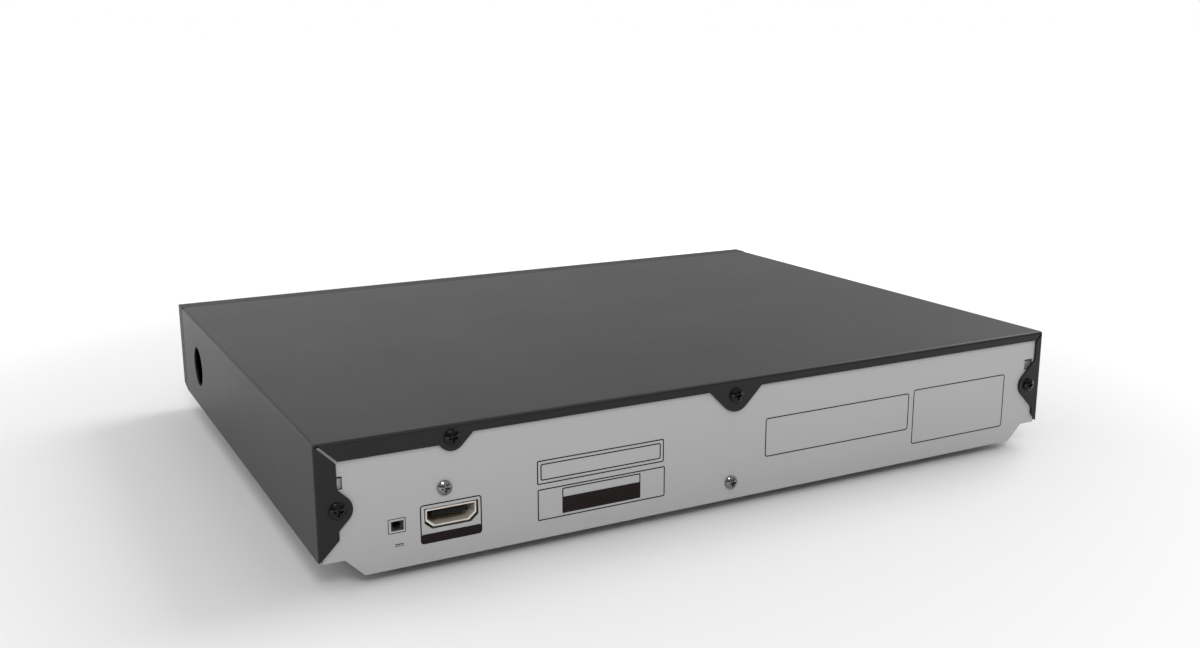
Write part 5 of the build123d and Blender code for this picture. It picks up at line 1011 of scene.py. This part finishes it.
@dataclass(frozen=True)
class SoftBox:
    """A square studio lamp, with its places and its side in metres and its power in watts."""

    name: str
    place: Point
    target: Point
    side: float
    power: float

    def hang(self) -> None:
        """Hang the lamp at its place and turn it to its target."""
        data = bpy.data.lights.new(self.name, "AREA")
        data.size = self.side
        data.energy = self.power
        lamp = bpy.data.objects.new(self.name, data)
        bpy.context.scene.collection.objects.link(lamp)
        lamp.location = self.place
        lamp.rotation_euler = (Vector(self.target) - Vector(self.place)).to_track_quat("-Z", "Y").to_euler()


# Named by the side on which they stand as the camera sees it.
SOFT_BOXES = (
    SoftBox("right_light", (-2.0, -0.5, 1.7), (0.0, 0.0, 0.0), 1.4, 30.0),
    SoftBox("front_light", (0.5, 1.6, 1.7), (0.0, 0.1, 0.0), 0.7, 12.0),
    SoftBox("left_light", (1.5, -1.6, 0.9), (0.1, -0.1, 0.0), 1.2, 3.5),
)


@dataclass
class Studio:
    """Pale floor, soft light and the camera at the photograph's place.

    Places are in metres, angles in degrees, the radii of the floor's sweep in millimetres, and the lens and
    the sensor as a camera has them. Ranges are parts of a heading of length one.
    """

    eye: Point = (0.20660, 0.39602, 0.14499)
    azimuth: float = 151.951
    elevation: float = 13.342
    roll: float = -0.119
    lens: float = 37.193
    sensor: float = 36.0
    clip: float = 0.01
    floor_half: float = 40.0
    floor_cells: int = 4
    floor_roughness: float = 0.6
    floor_gloss: float = 0.2
    pale: float = 0.84
    sweep_start: float = 150.0
    sweep_end: float = 500.0
    sweep_glow: float = 0.8
    horizon: float = 0.7
    far: float = 1.05
    far_range: tuple[float, float] = (-0.82, -1.0)
    dim: float = 0.1
    dim_range: tuple[float, float] = (-0.1, 0.7)
    zenith: float = 0.7
    zenith_range: tuple[float, float] = (0.0, 0.8)

    def build(self) -> None:
        """Set up floor, light and camera."""
        self.lay_floor()
        self.light()
        self.aim_camera()

    def lay_floor(self) -> None:
        """Lay a wide pale floor under the feet, which glows softly further out as a studio's sweep does."""
        shape = bmesh.new()
        bmesh.ops.create_grid(
            shape, x_segments=self.floor_cells, y_segments=self.floor_cells, size=self.floor_half,
        )
        data = bpy.data.meshes.new("floor")
        shape.to_mesh(data)
        shape.free()
        floor = bpy.data.objects.new("floor", data)
        bpy.context.scene.collection.objects.link(floor)
        book = ShaderBook("pale_floor")
        across, along = book.part(0), book.part(1)
        away = (across * across + along * along).ramp(self.sweep_start ** 2, self.sweep_end ** 2)
        book.set(Base_Color=(self.pale, self.pale, self.pale, 1.0))
        book.set(Roughness=self.floor_roughness, Specular_IOR_Level=self.floor_gloss)
        book.set(Emission_Color=book.blend(away, BLACK, WHITE), Emission_Strength=self.sweep_glow)
        data.materials.append(book.material)

    def light(self) -> None:
        """Light the scene with soft boxes and a pale surround, bright ahead and dim behind the camera."""
        scene = bpy.context.scene
        scene.world = bpy.data.worlds.new("surround")
        scene.world.use_nodes = True
        book = NodeBook(scene.world.node_tree)
        gaze = book.node("ShaderNodeTexCoord").outputs["Generated"]
        heading = book.node("ShaderNodeSeparateXYZ", inputs={0: gaze})
        along, up = Value(book, heading.outputs[1]), Value(book, heading.outputs[2])
        rim = book.blend(along.ramp(*self.far_range), (self.horizon,) * 3, (self.far,) * 3)
        low = book.blend(along.ramp(*self.dim_range), rim, (self.dim,) * 3)
        glow = book.blend(up.ramp(*self.zenith_range), low, (self.zenith,) * 3)
        seen = Value(book, book.node("ShaderNodeLightPath").outputs["Is Camera Ray"])
        lit = book.node("ShaderNodeBackground", inputs={"Color": book.blend(seen, glow, WHITE)})
        book.node("ShaderNodeOutputWorld", inputs={"Surface": lit.outputs[0]})
        for box in SOFT_BOXES:
            box.hang()
        scene.view_settings.view_transform = "Standard"

    def aim_camera(self) -> None:
        """Stand the camera where the photograph was taken."""
        turn, lift, tilt = (math.radians(a) for a in (self.azimuth, self.elevation, self.roll))
        back = Vector((math.sin(turn) * math.cos(lift), -math.cos(turn) * math.cos(lift), math.sin(lift)))
        right = Vector((0.0, 0.0, 1.0)).cross(back).normalized()
        up = back.cross(right)
        across = math.cos(tilt) * right + math.sin(tilt) * up
        above = math.cos(tilt) * up - math.sin(tilt) * right
        data = bpy.data.cameras.new("camera")
        data.sensor_width = self.sensor
        data.lens = self.lens
        data.clip_start = self.clip
        camera = bpy.data.objects.new("camera", data)
        bpy.context.scene.collection.objects.link(camera)
        turned = Matrix((across, above, back)).transposed().to_4x4()
        camera.matrix_world = Matrix.Translation(self.eye) @ turned
        bpy.context.scene.camera = camera


def main() -> None:
    """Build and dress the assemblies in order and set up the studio."""
    logging.basicConfig(level=logging.INFO, format="%(message)s")
    for assembly in (Housing(), RearPrint(), RearSockets(), FrontFace(), Boards(), Loader(), Traverse()):
        LOG.info("assembly %s", type(assembly).__name__)
        assembly.build()
        assembly.dress()
    Studio().build()


if __name__ == "__main__":
    main()
